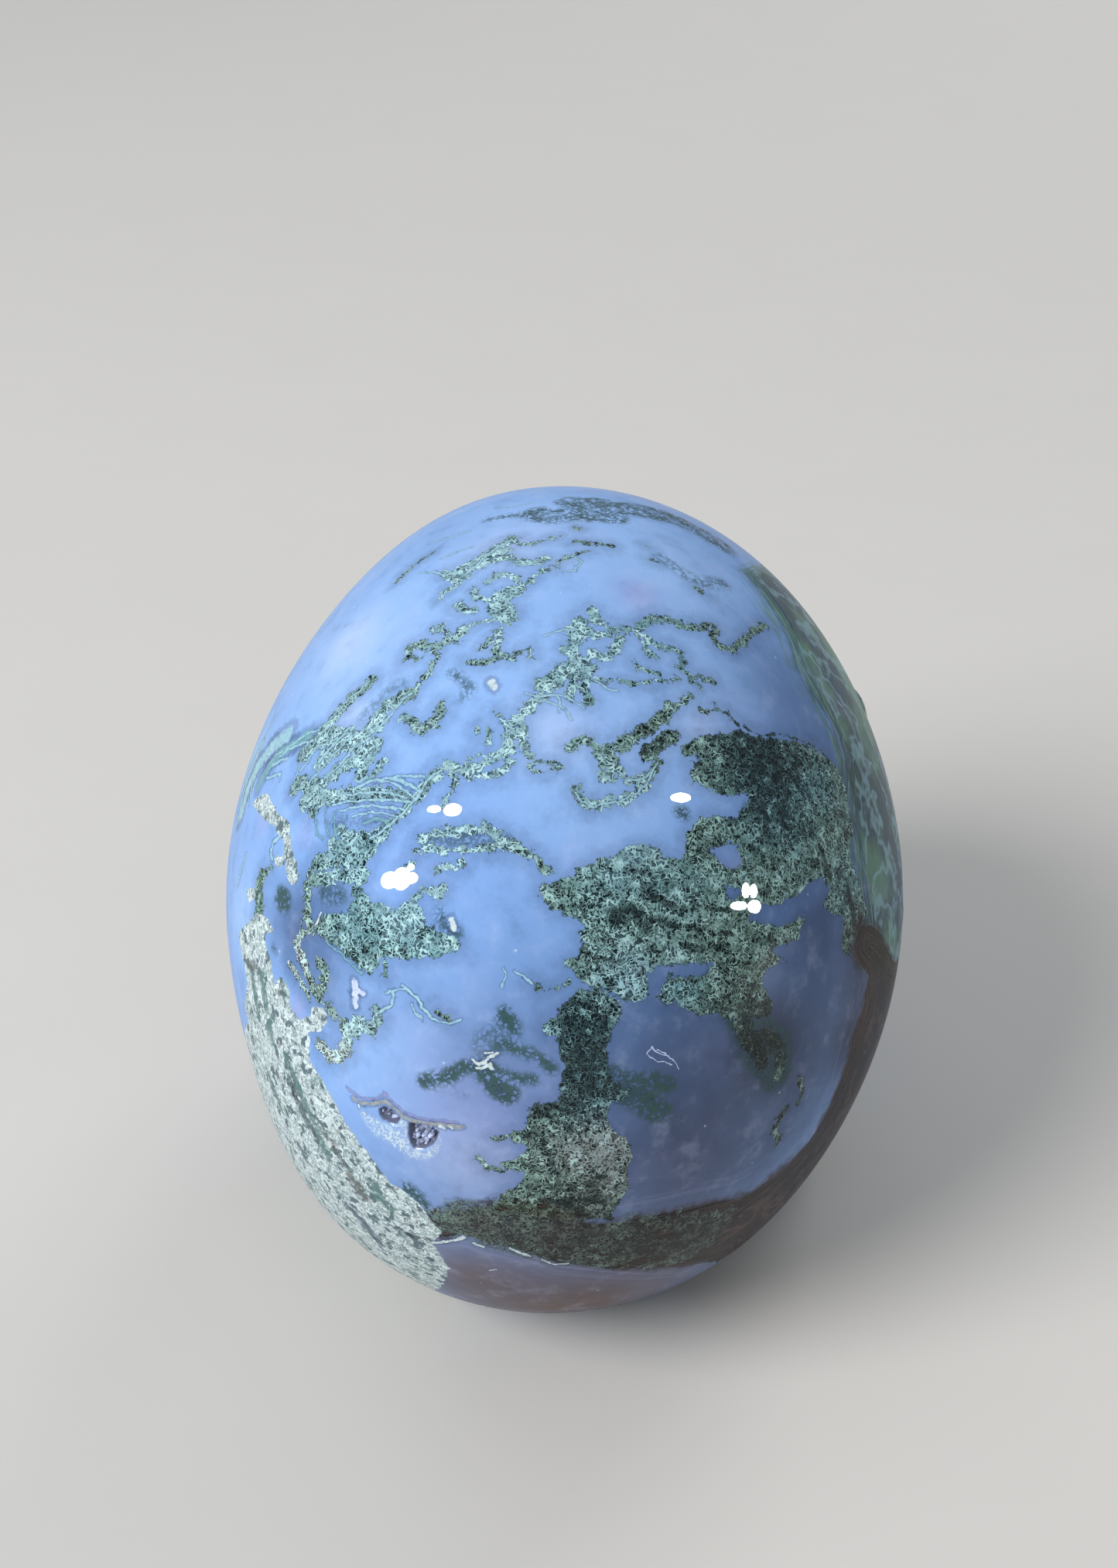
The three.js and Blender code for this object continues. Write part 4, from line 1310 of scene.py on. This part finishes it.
class AgateShader(Shader):
    """The shader of the stone, with the noises and distances that its parts share. Each method
    below paints one part of it over the colour that it is given.
    """

    def __init__(self, colours, sizes):
        super().__init__("moss agate")
        self.colours = colours
        self.spacing = sizes.thread / MM
        self.place = self.stretch(self.add("ShaderNodeTexCoord", output="Object"), 1 / MM)
        self.broad = self.noise(self.place, 0.22, 3.0, 0.55)
        self.drift = self.noise(self.place, 0.6, 3.0, 0.6)
        self.lobes = (self.noise(self.place, 1.2, 3.0, 0.6) - 0.5) * 1.5
        self.curly = self.noise(self.place, 2.4, 3.0, 0.6)
        self.clumps = self.noise(self.move(self.place, (5, 8, 2)), 1.3, 2.0, 0.5) - 0.5
        self.milk = self.noise(self.place, 0.06, 4.0, 0.55) - 0.5
        waver = self.noise(self.place, 1.3, 2.0, 0.5, output=1)
        self.waver = self.scale(self.move(waver, CENTRED), (0.6, 0.6, 0.0))
        # Behind the visible edge the outlines wander, with bays and islands.
        self.unseen = self.attribute("unseen")
        self.ragged = ((self.milk * 34.0 + (self.broad - 0.5) * 26.0) * self.unseen).most(-3.0)
        self.edge = self.moss_edge()
        # How closely the moss covers the stone, its colour, and the dark between its threads, which also
        # colours the painted shadow round them.
        seam = self.attribute("seam") + (self.drift - 0.5) * 0.8
        seam = seam.fade(0.2, 0.8) * self.attribute("seam").fade(0.0, 0.2)
        cover = self.attribute("moss_cover") + (self.drift - 0.5) * 1.2
        self.cover = cover + self.clumps * 1.1 - seam * 0.4
        self.tone = self.attribute("moss_colour", "Color")
        deep = self.broad.fade(0.4, 0.7) * 0.4
        self.dark = self.mix(deep, self.tint("moss_dark"), self.tint("deep_moss"))

    def tint(self, name):
        """One of the colours of the stone."""
        return tuple(getattr(self.colours, name))

    def to_strip(self, name):
        """Distance to the middle of a stroke, from what is stored at the corners of faces."""
        way = self.move(self.attribute(name + "_way", "Vector"), self.waver)
        beyond = (abs(self.part(way, "Y")) - self.part(way, "Z")).most(0.0)
        aside = self.part(way, "X")
        return (aside * aside + beyond * beyond).root()

    def moss_edge(self):
        """Distance to the edge of the moss, in millimetres, and less than 0 inside."""
        edge = self.attribute("moss")
        for layer in range(SPRAY_LAYERS):
            away = self.to_strip(f"spray_{layer}")
            edge = edge.least(away - self.attribute(f"spray_{layer}_width"))
        streaky = (self.noise(self.place, 0.16, 6.0, 0.62) - 0.52) * 22.0
        edge = edge.least((1.0 - self.unseen) * 12.0 - streaky)
        return edge + self.lobes + (self.curly - 0.5) * 0.35

    def strands_along(self, distance):
        """Streaks and fine pale wisps that run along an outline, from the distance to it."""
        slow = self.move(self.stretch(self.place, 0.12), distance * 0.62)
        strands = self.noise(slow, 1.0, 4.0, 0.6)
        wisps = abs(self.noise(self.move(slow, (4, 9, 2)), 1.3, 3.0, 0.6) - 0.5)
        return strands, wisps.fade(0.05, 0.0)

    def threads(self, ground, edge, cover, tone, dark, shade, gleam, coarse=1.0):
        """Curling threads over a ground colour, thinning out at their edge, each with a painted shadow
        round it. That shadow takes the shade in place of the dark where they cover most, and the gleam
        is on the tips of the front ones.
        """
        spacing = self.spacing * coarse
        wobble = self.move(self.noise(self.place, 0.43 / spacing, 1.0, 0.5, output=1), CENTRED)
        bent = self.move(self.place, self.stretch(wobble, 1.4 * spacing))
        thin = edge.fade(-0.22, 0.3) * 0.34
        shadow_strength = 0.3 + edge.fade(0.05, -0.3) * 0.45
        level = cover.least(0.75).most(0.2) - 0.5
        lit = 0.36 + cover.fade(-0.1, 0.4) * 0.64
        bright = 0.3 + cover.fade(0.6, 1.0) * 0.55
        # The colour of the painted shadow round each curl: the dark, or the shade where they cover most.
        outline = self.mix(cover.fade(0.55, 0.85) * 0.75, dark, shade)
        for shift, fineness, thickness, dependence, low, high in MOSS_LAYERS:
            curl = abs(self.noise(self.move(bent, shift), fineness / spacing, 1.0, 0.5) - 0.5)
            curl = curl + thin - level * dependence
            shift = tuple(2.0 * s + 1.0 for s in shift)
            patch = self.noise(self.move(self.place, shift), 0.4 / spacing, 1.0, 0.5)
            patch = patch.fade(0.35, 0.65)
            colour = self.mix((low + patch * (high - low)) * lit, dark, tone)
            colour = self.mix(patch * lit * high * high * bright, colour, gleam)
            # A painted shadow round each curl, drawn below it.
            painted_shadow = curl.fade(thickness * 1.75, thickness * 1.1) * shadow_strength
            ground = self.mix(painted_shadow, ground, outline)
            ground = self.mix(curl.fade(thickness * 1.05, thickness * 0.6), ground, colour)
        return ground

    def clear_stone(self):
        """Milky blue stone with paler and darker clouds and a few flecks."""
        body = self.attribute("body", "Color")
        body = self.mix((self.milk * 2.4).fade(0.0, 1.0) * 0.2, body, self.tint("pale_body"))
        body = self.mix((self.milk * -2.4).fade(0.0, 1.0) * 0.2, body, self.tint("slate"))
        flecks = self.cells(self.place, 0.3).fade(0.05, 0.03) * 0.5
        body = self.mix(flecks, body, self.tint("veil"))
        haze = self.noise(self.place, 0.35, 5.0, 0.62) - 0.5
        body = self.mix((haze * 4.0).fade(0.0, 1.0) * 0.16, body, self.tint("veil"))
        return self.mix((haze * -4.0).fade(0.0, 1.0) * 0.2, body, self.tint("slate"))

    def side_moss(self, colour):
        """Streaky green moss along one side."""
        distance = self.attribute("side")
        strands, wisps = self.strands_along(distance)
        side = (0.4 - (distance + self.ragged) / 6.0).most(0.0).least(1.6)
        mossy = side + (strands - 0.5) * 1.8 + (self.broad - 0.5) * 1.4
        mossy = mossy.fade(0.2, 0.95) * side.fade(0.0, 0.2)
        green = self.mix(strands.fade(0.42, 0.6), self.tint("side_dark"), self.tint("side"))
        green = self.mix(wisps * 0.4, green, self.tint("mint"))
        return self.mix(mossy * 0.88, colour, green)

    def deep_moss(self, colour):
        """Rosy streaks near the band, soft moss deeper in, and a painted shadow round the moss on top."""
        distance = self.attribute("band")
        strands, _ = self.strands_along(distance)
        rosy = strands.fade(0.5, 0.7) * distance.fade(9.0, 1.0) * 0.22
        colour = self.mix(rosy, colour, self.tint("rose"))
        tufts = abs(self.noise(self.place, 1.5, 2.0, 0.6) - 0.5).fade(0.16, 0.02)
        soft = self.attribute("deep") * (0.75 + (self.drift - 0.5) * 2.0 + (tufts - 0.5) * 0.8)
        buried = self.mix(tufts * 0.25, self.tint("deep_moss"), self.tint("fern"))
        colour = self.mix(soft.fade(0.08, 0.85) * 0.95, colour, buried)
        # A painted shadow round the moss on top, in slate.
        return self.mix(self.edge.fade(1.8, -0.2) * 0.26, colour, self.tint("slate"))

    def top_moss(self, colour):
        """The banks and sprays of moss just under the polish."""
        between = self.mix(self.cover.fade(0.4, 0.95) * 0.5, self.dark, self.tone)
        ground = self.mix(self.edge.fade(0.0, -0.35), colour, between)
        slate, frost = self.tint("slate"), self.tint("frost")
        # Slate colours the painted shadow round the curls where they cover most.
        return self.threads(ground, self.edge, self.cover, self.tone, self.dark, slate, frost)

    def foot_band(self, colour):
        """The olive band round the foot, partly dark moss and partly a painted reflection of brown
        surroundings.
        """
        distance = self.attribute("band")
        strands, wisps = self.strands_along(distance)
        band = distance + self.ragged + self.lobes * 1.2
        band = band + (self.broad - 0.5) * 3.4 + (strands - 0.5) * 2.4
        # Black-olive and brown, partly dark moss and partly a painted reflection of brown surroundings.
        band_and_reflection = self.mix(strands.fade(0.35, 0.65), self.tint("olive"), self.tint("umber_dark_and_reflection"))
        band_and_reflection = self.mix(wisps * 0.5, band_and_reflection, self.tint("clay_and_reflection"))
        grown = (self.attribute("band_moss") + (self.drift - 0.5) * 1.2).fade(0.3, 0.7)
        olive, tone = self.tint("olive"), self.tone
        band_and_reflection = self.threads(band_and_reflection, 1.4 - grown * 1.8, self.cover, tone, olive, olive, tone)
        return self.mix(band.fade(1.0, -1.0) * 0.95, colour, band_and_reflection)

    def crust(self, colour):
        """The crust: white curls, with green and brown in it."""
        shade = self.tint("crust_shade")
        rim = self.attribute("crust") + self.ragged + self.lobes * 0.8 - 0.15
        mottle = self.noise(self.place, 0.6, 5.0, 0.65)
        chalk = self.mix(mottle.fade(0.3, 0.44), self.tint("fern"), self.tint("chalk"))
        stain = self.noise(self.move(self.place, (11, 4, 9)), 0.5, 5.0, 0.65)
        chalk = self.mix(stain.fade(0.6, 0.68) * 0.55, chalk, self.tint("umber"))
        vein = self.attribute("vein") + self.lobes * 1.3 + (self.curly - 0.5) * 0.8
        vein = vein.fade(0.3, -0.35)
        vein_colour = self.attribute("vein_colour", "Color")
        chalk = self.mix(vein * 0.75, chalk, vein_colour)
        gaps = self.noise(self.move(self.place, (3, 7, 5)), 0.95, 3.0, 0.55).fade(0.54, 0.61)
        grey = self.mix(0.2, shade, chalk)
        under = self.mix(0.78 - gaps * 0.7, shade, chalk)
        colour = self.mix(rim.fade(0.02, -0.2), colour, under)
        rim = rim.most(gaps * 0.5 - 0.4)
        thick = 0.7 + (self.drift - 0.5) * 1.8 + self.clumps * 1.4 - vein * 0.5
        colour = self.threads(colour, rim, thick, chalk, grey, grey, chalk, CRUST_COARSENESS)
        return self.mix(vein * rim.fade(-0.2, 0.3) * 0.8, colour, vein_colour)

    def fine_lines(self, colour):
        """Fine threads and flecks, each in its own colour, with all their painted shadows below them."""
        across = []
        for layer in range(THREAD_LAYERS):
            away = self.to_strip(f"thread_{layer}") / self.attribute(f"thread_{layer}_width")
            away = away + (self.curly - 0.5) * 1.3
            across.append(away)
            # A painted shadow round each thread, in slate.
            colour = self.mix(away.fade(2.3, 1.2) * 0.35, colour, self.tint("slate"))
        for layer, away in enumerate(across):
            tint = self.attribute(f"thread_{layer}_colour", "Color")
            tint = self.mix(self.curly.fade(0.4, 0.7) * 0.3, tint, self.dark)
            colour = self.mix(away.fade(1.05, 0.5) * 0.9, colour, tint)
        return colour

    def crystal_pocket(self, colour):
        """The floor of the pocket and its rim, a faint white with painted glints."""
        grit = self.cells(self.place, 3.2, output="Color")
        sparkle = (self.attribute("sparkle") + self.lobes * 0.6).fade(0.3, -0.5)
        # Painted glints of light off the tiny crystals of the rim, over a faint white.
        glitter = abs(self.noise(self.place, 1.5, 2.0, 0.6, Distortion=0.6) - 0.5)
        glitter = glitter.fade(0.07, 0.015)
        colour = self.mix(sparkle * (0.12 + glitter * 0.65), colour, self.tint("chalk"))
        stone = self.mix(0.2, self.tint("crystal"), grit, "MULTIPLY")
        return self.mix(self.attribute("pocket").fade(0.1, -0.1), colour, stone)


def agate_material(colours, sizes):
    """Milky blue chalcedony with green moss, a pale crust and an olive band, all polished."""
    stone = AgateShader(colours, sizes)
    colour = stone.clear_stone()
    colour = stone.side_moss(colour)
    colour = stone.deep_moss(colour)
    colour = stone.top_moss(colour)
    colour = stone.foot_band(colour)
    colour = stone.crust(colour)
    colour = stone.fine_lines(colour)
    colour = stone.crystal_pocket(colour)
    return stone.surface(
        {
            "Base Color": colour,
            "Roughness": 0.45,
            "IOR": QUARTZ_IOR,
            "Specular IOR Level": 0.0,
            "Subsurface Weight": 0.04,
            "Subsurface Radius": (0.8, 0.9, 1.2),
            "Subsurface Scale": 0.001,
            "Coat Weight": 0.35,
            "Coat Roughness": 0.02,
            "Coat IOR": QUARTZ_IOR,
        }
    )


def crystal_material(colours):
    """Small grey crystals with bright faces."""
    shader = Shader("pocket crystals")
    place = shader.stretch(shader.add("ShaderNodeTexCoord", output="Object"), 1 / MM)
    tone = shader.noise(place, 1.4, 3.0, 0.6)
    colour = shader.mix(tone.fade(0.35, 0.65), tuple(colours.crystal), tuple(colours.veil))
    rough = 0.08 + 0.25 * shader.noise(place, 4.0, 2.0, 0.6)
    inputs = {"Base Color": colour, "Roughness": rough, "IOR": QUARTZ_IOR, "Coat Weight": 0.3}
    return shader.surface(inputs)


# ---------------------------------------------------------------------------------------------
# Pieces.
# ---------------------------------------------------------------------------------------------


def start_clean():
    """Leaves nothing selected, so that an operator acts only on what is added next."""
    bpy.ops.object.select_all(action="DESELECT")


def coordinates(mesh):
    """The places of the vertices of a mesh."""
    values = np.zeros(len(mesh.vertices) * 3)
    mesh.vertices.foreach_get("co", values)
    return values.reshape(-1, 3)


def in_pockets(points):
    """Distance in millimetres from points to the nearer pocket, negative inside."""
    seen = seen_from_camera(points)
    return np.minimum(*[area_distance(seen, outline) for outline in POCKETS])


class CARVING_OT_skull(Operator):
    """Carve the skull from one block and give it its moss agate"""

    bl_idname = "carving.skull"
    bl_label = "Carve Skull"

    def execute(self, context):
        sizes = context.scene.carving_sizes
        colours = context.scene.stone_colours
        start_clean()
        bpy.ops.mesh.primitive_cube_add(size=2.0, location=(0, 0, 0))
        skull = context.object
        skull.name = "carved_skull"
        bpy.ops.object.mode_set(mode="EDIT")
        bpy.ops.mesh.select_mode(type="FACE")
        bpy.ops.mesh.select_all(action="SELECT")
        bpy.ops.mesh.subdivide(number_cuts=CUTS_ALL_ROUND)
        for side, cuts in ((1, CUTS_AT_THE_BACK), (-1, CUTS_AT_THE_FACE)):
            bpy.ops.mesh.select_all(action="DESELECT")
            bpy.ops.object.mode_set(mode="OBJECT")
            chosen = [abs(face.center.y - side) < 1e-4 for face in skull.data.polygons]
            skull.data.polygons.foreach_set("select", chosen)
            bpy.ops.object.mode_set(mode="EDIT")
            bpy.ops.mesh.subdivide(number_cuts=cuts)
        bpy.ops.mesh.select_all(action="DESELECT")
        bpy.ops.object.mode_set(mode="OBJECT")

        mesh = skull.data
        points = carve(coordinates(mesh))
        corner = np.zeros(len(mesh.polygons), int)
        mesh.polygons.foreach_get("loop_start", corner)
        vertex = np.zeros(len(mesh.loops), int)
        mesh.loops.foreach_get("vertex_index", vertex)
        chosen = in_pockets(points)[vertex[corner]] < FINER_ROUND_POCKETS
        mesh.polygons.foreach_set("select", chosen)
        bpy.ops.object.mode_set(mode="EDIT")
        bpy.ops.mesh.subdivide(number_cuts=CUTS_AT_POCKETS)
        bpy.ops.object.mode_set(mode="OBJECT")
        points = np.concatenate([points, carve(coordinates(mesh)[len(points):])])
        if not np.isfinite(points).all():
            raise RuntimeError("The skull could not be carved")
        mark(mesh, points, colours)
        depth = np.clip(-in_pockets(points) / POCKET_WALL, 0, 1) * sizes.pocket_depth / MM
        points -= slope_of(to_cranium, points) * depth[:, None]
        wanted = np.array([sizes.width, sizes.length, sizes.height])
        stretch = wanted / (np.array(CAD_HIGH) - np.array(CAD_LOW))
        mesh.vertices.foreach_set("co", (points * MM * stretch).ravel())
        mesh.update()
        bpy.ops.object.shade_smooth()
        mesh.materials.append(agate_material(colours, sizes))
        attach(skull, "root")
        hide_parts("skull")
        return {"FINISHED"}


CRYSTALS = 90
CRYSTAL_SEED = 5


class CARVING_OT_crystals(Operator):
    """Grow small crystals in the pocket at the back of the skull"""

    bl_idname = "carving.crystals"
    bl_label = "Grow Pocket Crystals"

    def execute(self, context):
        sizes = context.scene.carving_sizes
        start_clean()
        bpy.ops.mesh.primitive_cylinder_add(vertices=6, radius=0.22, depth=0.6, location=(0, 0, 0))
        crystal = context.object
        bpy.ops.object.mode_set(mode="EDIT")
        bpy.ops.mesh.select_mode(type="FACE")
        bpy.ops.mesh.select_all(action="DESELECT")
        bpy.ops.object.mode_set(mode="OBJECT")
        for face in crystal.data.polygons:
            face.select = face.normal.z > 0.9
        bpy.ops.object.mode_set(mode="EDIT")
        bpy.ops.mesh.extrude_region_move(TRANSFORM_OT_translate={"value": (0, 0, 0.3)})
        bpy.ops.transform.resize(value=(0.08, 0.08, 1.0), center_override=(0, 0, 0.6))
        bpy.ops.object.mode_set(mode="OBJECT")
        shape = coordinates(crystal.data) + (0, 0, 0.3)
        shape[:, 2] /= 0.9

        picks = np.random.default_rng(CRYSTAL_SEED)
        corners = np.concatenate([np.array(outline, float) for outline in POCKETS])
        spots = picks.uniform(corners.min(0), corners.max(0), (CRYSTALS * 8, 2))
        spots = from_photo(spots)
        spots = spots[in_pockets(spots) < -0.12][:CRYSTALS]
        outward = slope_of(to_cranium, spots)
        floor = spots - outward * sizes.pocket_depth / MM
        copies = []
        for foot, way in zip(floor, outward):
            lean = Vector(way + picks.normal(0, 0.35, 3)).normalized()
            turn = lean.to_track_quat("Z", "Y").to_matrix() @ Matrix.Rotation(picks.uniform(0, 6.3), 3, "Z")
            long = sizes.crystal / MM * picks.uniform(0.45, 1.0)
            wide = picks.uniform(0.6, 1.3)
            placed = (shape * (wide, wide, long)) @ np.array(turn).T + foot - lean * 0.1
            copy = crystal.copy()
            copy.data = crystal.data.copy()
            copy.data.vertices.foreach_set("co", (placed * MM).ravel())
            context.collection.objects.link(copy)
            copies.append(copy)
        if len(copies) < 2:
            raise RuntimeError("No crystal found a place in the pocket")
        bpy.data.objects.remove(crystal)
        start_clean()
        for copy in copies:
            copy.select_set(True)
        context.view_layer.objects.active = copies[0]
        bpy.ops.object.join()
        cluster = context.object
        cluster.name = "pocket_crystals"
        cluster.data.materials.append(crystal_material(context.scene.stone_colours))
        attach(cluster, "root")
        return {"FINISHED"}


# Where small bright lights are mirrored in the polish: pixel, width and height, in pixels.
GLINTS = [
    ((561, 1046), 18, 9),
    ((585, 1047), 23, 16),
    ((503, 1138), 21, 22),
    ((519, 1136), 24, 29),
    ((533, 1135), 14, 14),
    ((531, 1121), 9, 9),
    ((880, 1031), 26, 12),
    ((964, 1151), 10, 20),
    ((974, 1152), 10, 18),
    ((955, 1171), 22, 11),
    ((975, 1172), 17, 17),
]
GLINT_BRIGHTNESS = 380.0


def mirrored(pixels, distance):
    """Places, in metres, that the polish mirrors to the camera at pixels of the photograph."""
    points = from_photo(pixels)
    normals = slope_of(to_cranium, points)
    views = camera_axes()[0] - points
    views /= np.linalg.norm(views, axis=1, keepdims=True)
    mirror = 2 * (normals * views).sum(1)[:, None] * normals - views
    return points * MM + mirror * distance


def lamp(name, location, width, height, power, across=None):
    """A soft elliptical light aimed at the middle of the carving. One with a direction for its
    width is a small light that is only mirrored in the polish.
    """
    data = bpy.data.lights.new(name, "AREA")
    data.shape = "ELLIPSE"
    data.size = width
    data.size_y = height
    data.energy = power
    light = bpy.data.objects.new(name, data)
    bpy.context.scene.collection.objects.link(light)
    light.location = location
    light.rotation_mode = "QUATERNION"
    back = (Vector(location) - Vector((0, 0, 0.04))).normalized()
    side = Vector(across) if across is not None else Vector((0, 0, 1)).cross(back)
    side = (side - side.dot(back) * back).normalized()
    light.rotation_quaternion = Matrix((side, back.cross(side), back)).transposed().to_quaternion()
    light.visible_glossy = across is not None
    light.visible_diffuse = across is None


class CARVING_OT_studio(Operator):
    """Set up the pale floor, the soft lights and the camera"""

    bl_idname = "carving.studio"
    bl_label = "Set Up Studio"

    def execute(self, context):
        studio = context.scene.studio_settings
        start_clean()
        bpy.ops.mesh.primitive_plane_add(size=studio.floor_size, location=(0, 0, 0))
        floor = context.object
        floor.name = "studio_floor"
        shader = Shader("studio floor")
        grain = shader.noise(shader.add("ShaderNodeTexCoord", output="Object"), 40.0, 3.0, 0.6)
        dimmer = tuple(0.97 * c for c in studio.floor_colour[:3]) + (1.0,)
        tone = shader.mix(grain, tuple(studio.floor_colour), dimmer)
        floor.data.materials.append(shader.surface({"Base Color": tone, "Roughness": 0.6}))

        world = bpy.data.worlds.new("studio")
        context.scene.world = world
        world.use_nodes = True
        backdrop = world.node_tree.nodes["Background"]
        backdrop.inputs["Color"].default_value = (0.88, 0.93, 1.0, 1.0)
        backdrop.inputs["Strength"].default_value = studio.sky

        place, right, up, ahead = camera_axes()
        data = bpy.data.cameras.new("photo camera")
        data.lens = FOCAL_LENGTH
        data.sensor_width = SENSOR
        data.clip_start = 0.01
        data.clip_end = 20.0
        camera = bpy.data.objects.new("photo camera", data)
        context.scene.collection.objects.link(camera)
        camera.location = Vector(place * MM)
        camera.rotation_mode = "QUATERNION"
        camera.rotation_quaternion = Vector(ahead).to_track_quat("-Z", "Y")
        context.scene.camera = camera

        lamp("key softbox", (0.8, 0.95, 0.95), 0.8, 0.8, studio.key_power)
        lamp("face softbox", (-0.5, -1.2, 0.9), 0.8, 0.8, studio.fill_power)
        for index, ((x, y), wide, high) in enumerate(GLINTS):
            pixels = [(x, y), (x - 1, y), (x + 1, y), (x, y - 1), (x, y + 1)]
            spot, left, right_side, top, bottom = mirrored(pixels, studio.light_distance)
            across = (right_side - left) / 2
            upward = (top - bottom) / 2
            direction = across / np.linalg.norm(across)
            upward = upward - (upward @ direction) * direction
            width, height = np.linalg.norm(across) * wide, np.linalg.norm(upward) * high
            power = GLINT_BRIGHTNESS * width * height
            lamp(f"small light {index + 1}", tuple(spot), width, height, power, tuple(direction))
        context.scene.view_settings.view_transform = "Standard"
        return {"FINISHED"}


class CARVING_PT_panel(Panel):
    """Lists the steps, the sizes and the colours"""

    bl_idname = "CARVING_PT_panel"
    bl_label = "Stone Carving"
    bl_space_type = "VIEW_3D"
    bl_region_type = "UI"
    bl_category = "Stone Carving"

    def draw(self, context):
        layout = self.layout
        for operator in OPERATORS:
            layout.operator(operator.bl_idname)
        for title, group in (
            ("Sizes", context.scene.carving_sizes),
            ("Colours", context.scene.stone_colours),
            ("Studio", context.scene.studio_settings),
        ):
            box = layout.box()
            box.label(text=title)
            for name in type(group).__annotations__:
                box.prop(group, name)


GROUPS = {
    "carving_sizes": CarvingSizes,
    "stone_colours": StoneColours,
    "studio_settings": StudioSettings,
}
OPERATORS = (CARVING_OT_skull, CARVING_OT_crystals, CARVING_OT_studio)


def register():
    for group in GROUPS.values():
        bpy.utils.register_class(group)
    for name, group in GROUPS.items():
        setattr(bpy.types.Scene, name, PointerProperty(type=group))
    for operator in OPERATORS:
        bpy.utils.register_class(operator)
    bpy.utils.register_class(CARVING_PT_panel)


def unregister():
    bpy.utils.unregister_class(CARVING_PT_panel)
    for operator in reversed(OPERATORS):
        bpy.utils.unregister_class(operator)
    for name in GROUPS:
        delattr(bpy.types.Scene, name)
    for group in reversed(GROUPS.values()):
        bpy.utils.unregister_class(group)


def main():
    register()
    bpy.ops.carving.skull()
    bpy.ops.carving.crystals()
    bpy.ops.carving.studio()


if __name__ == "__main__":
    main()
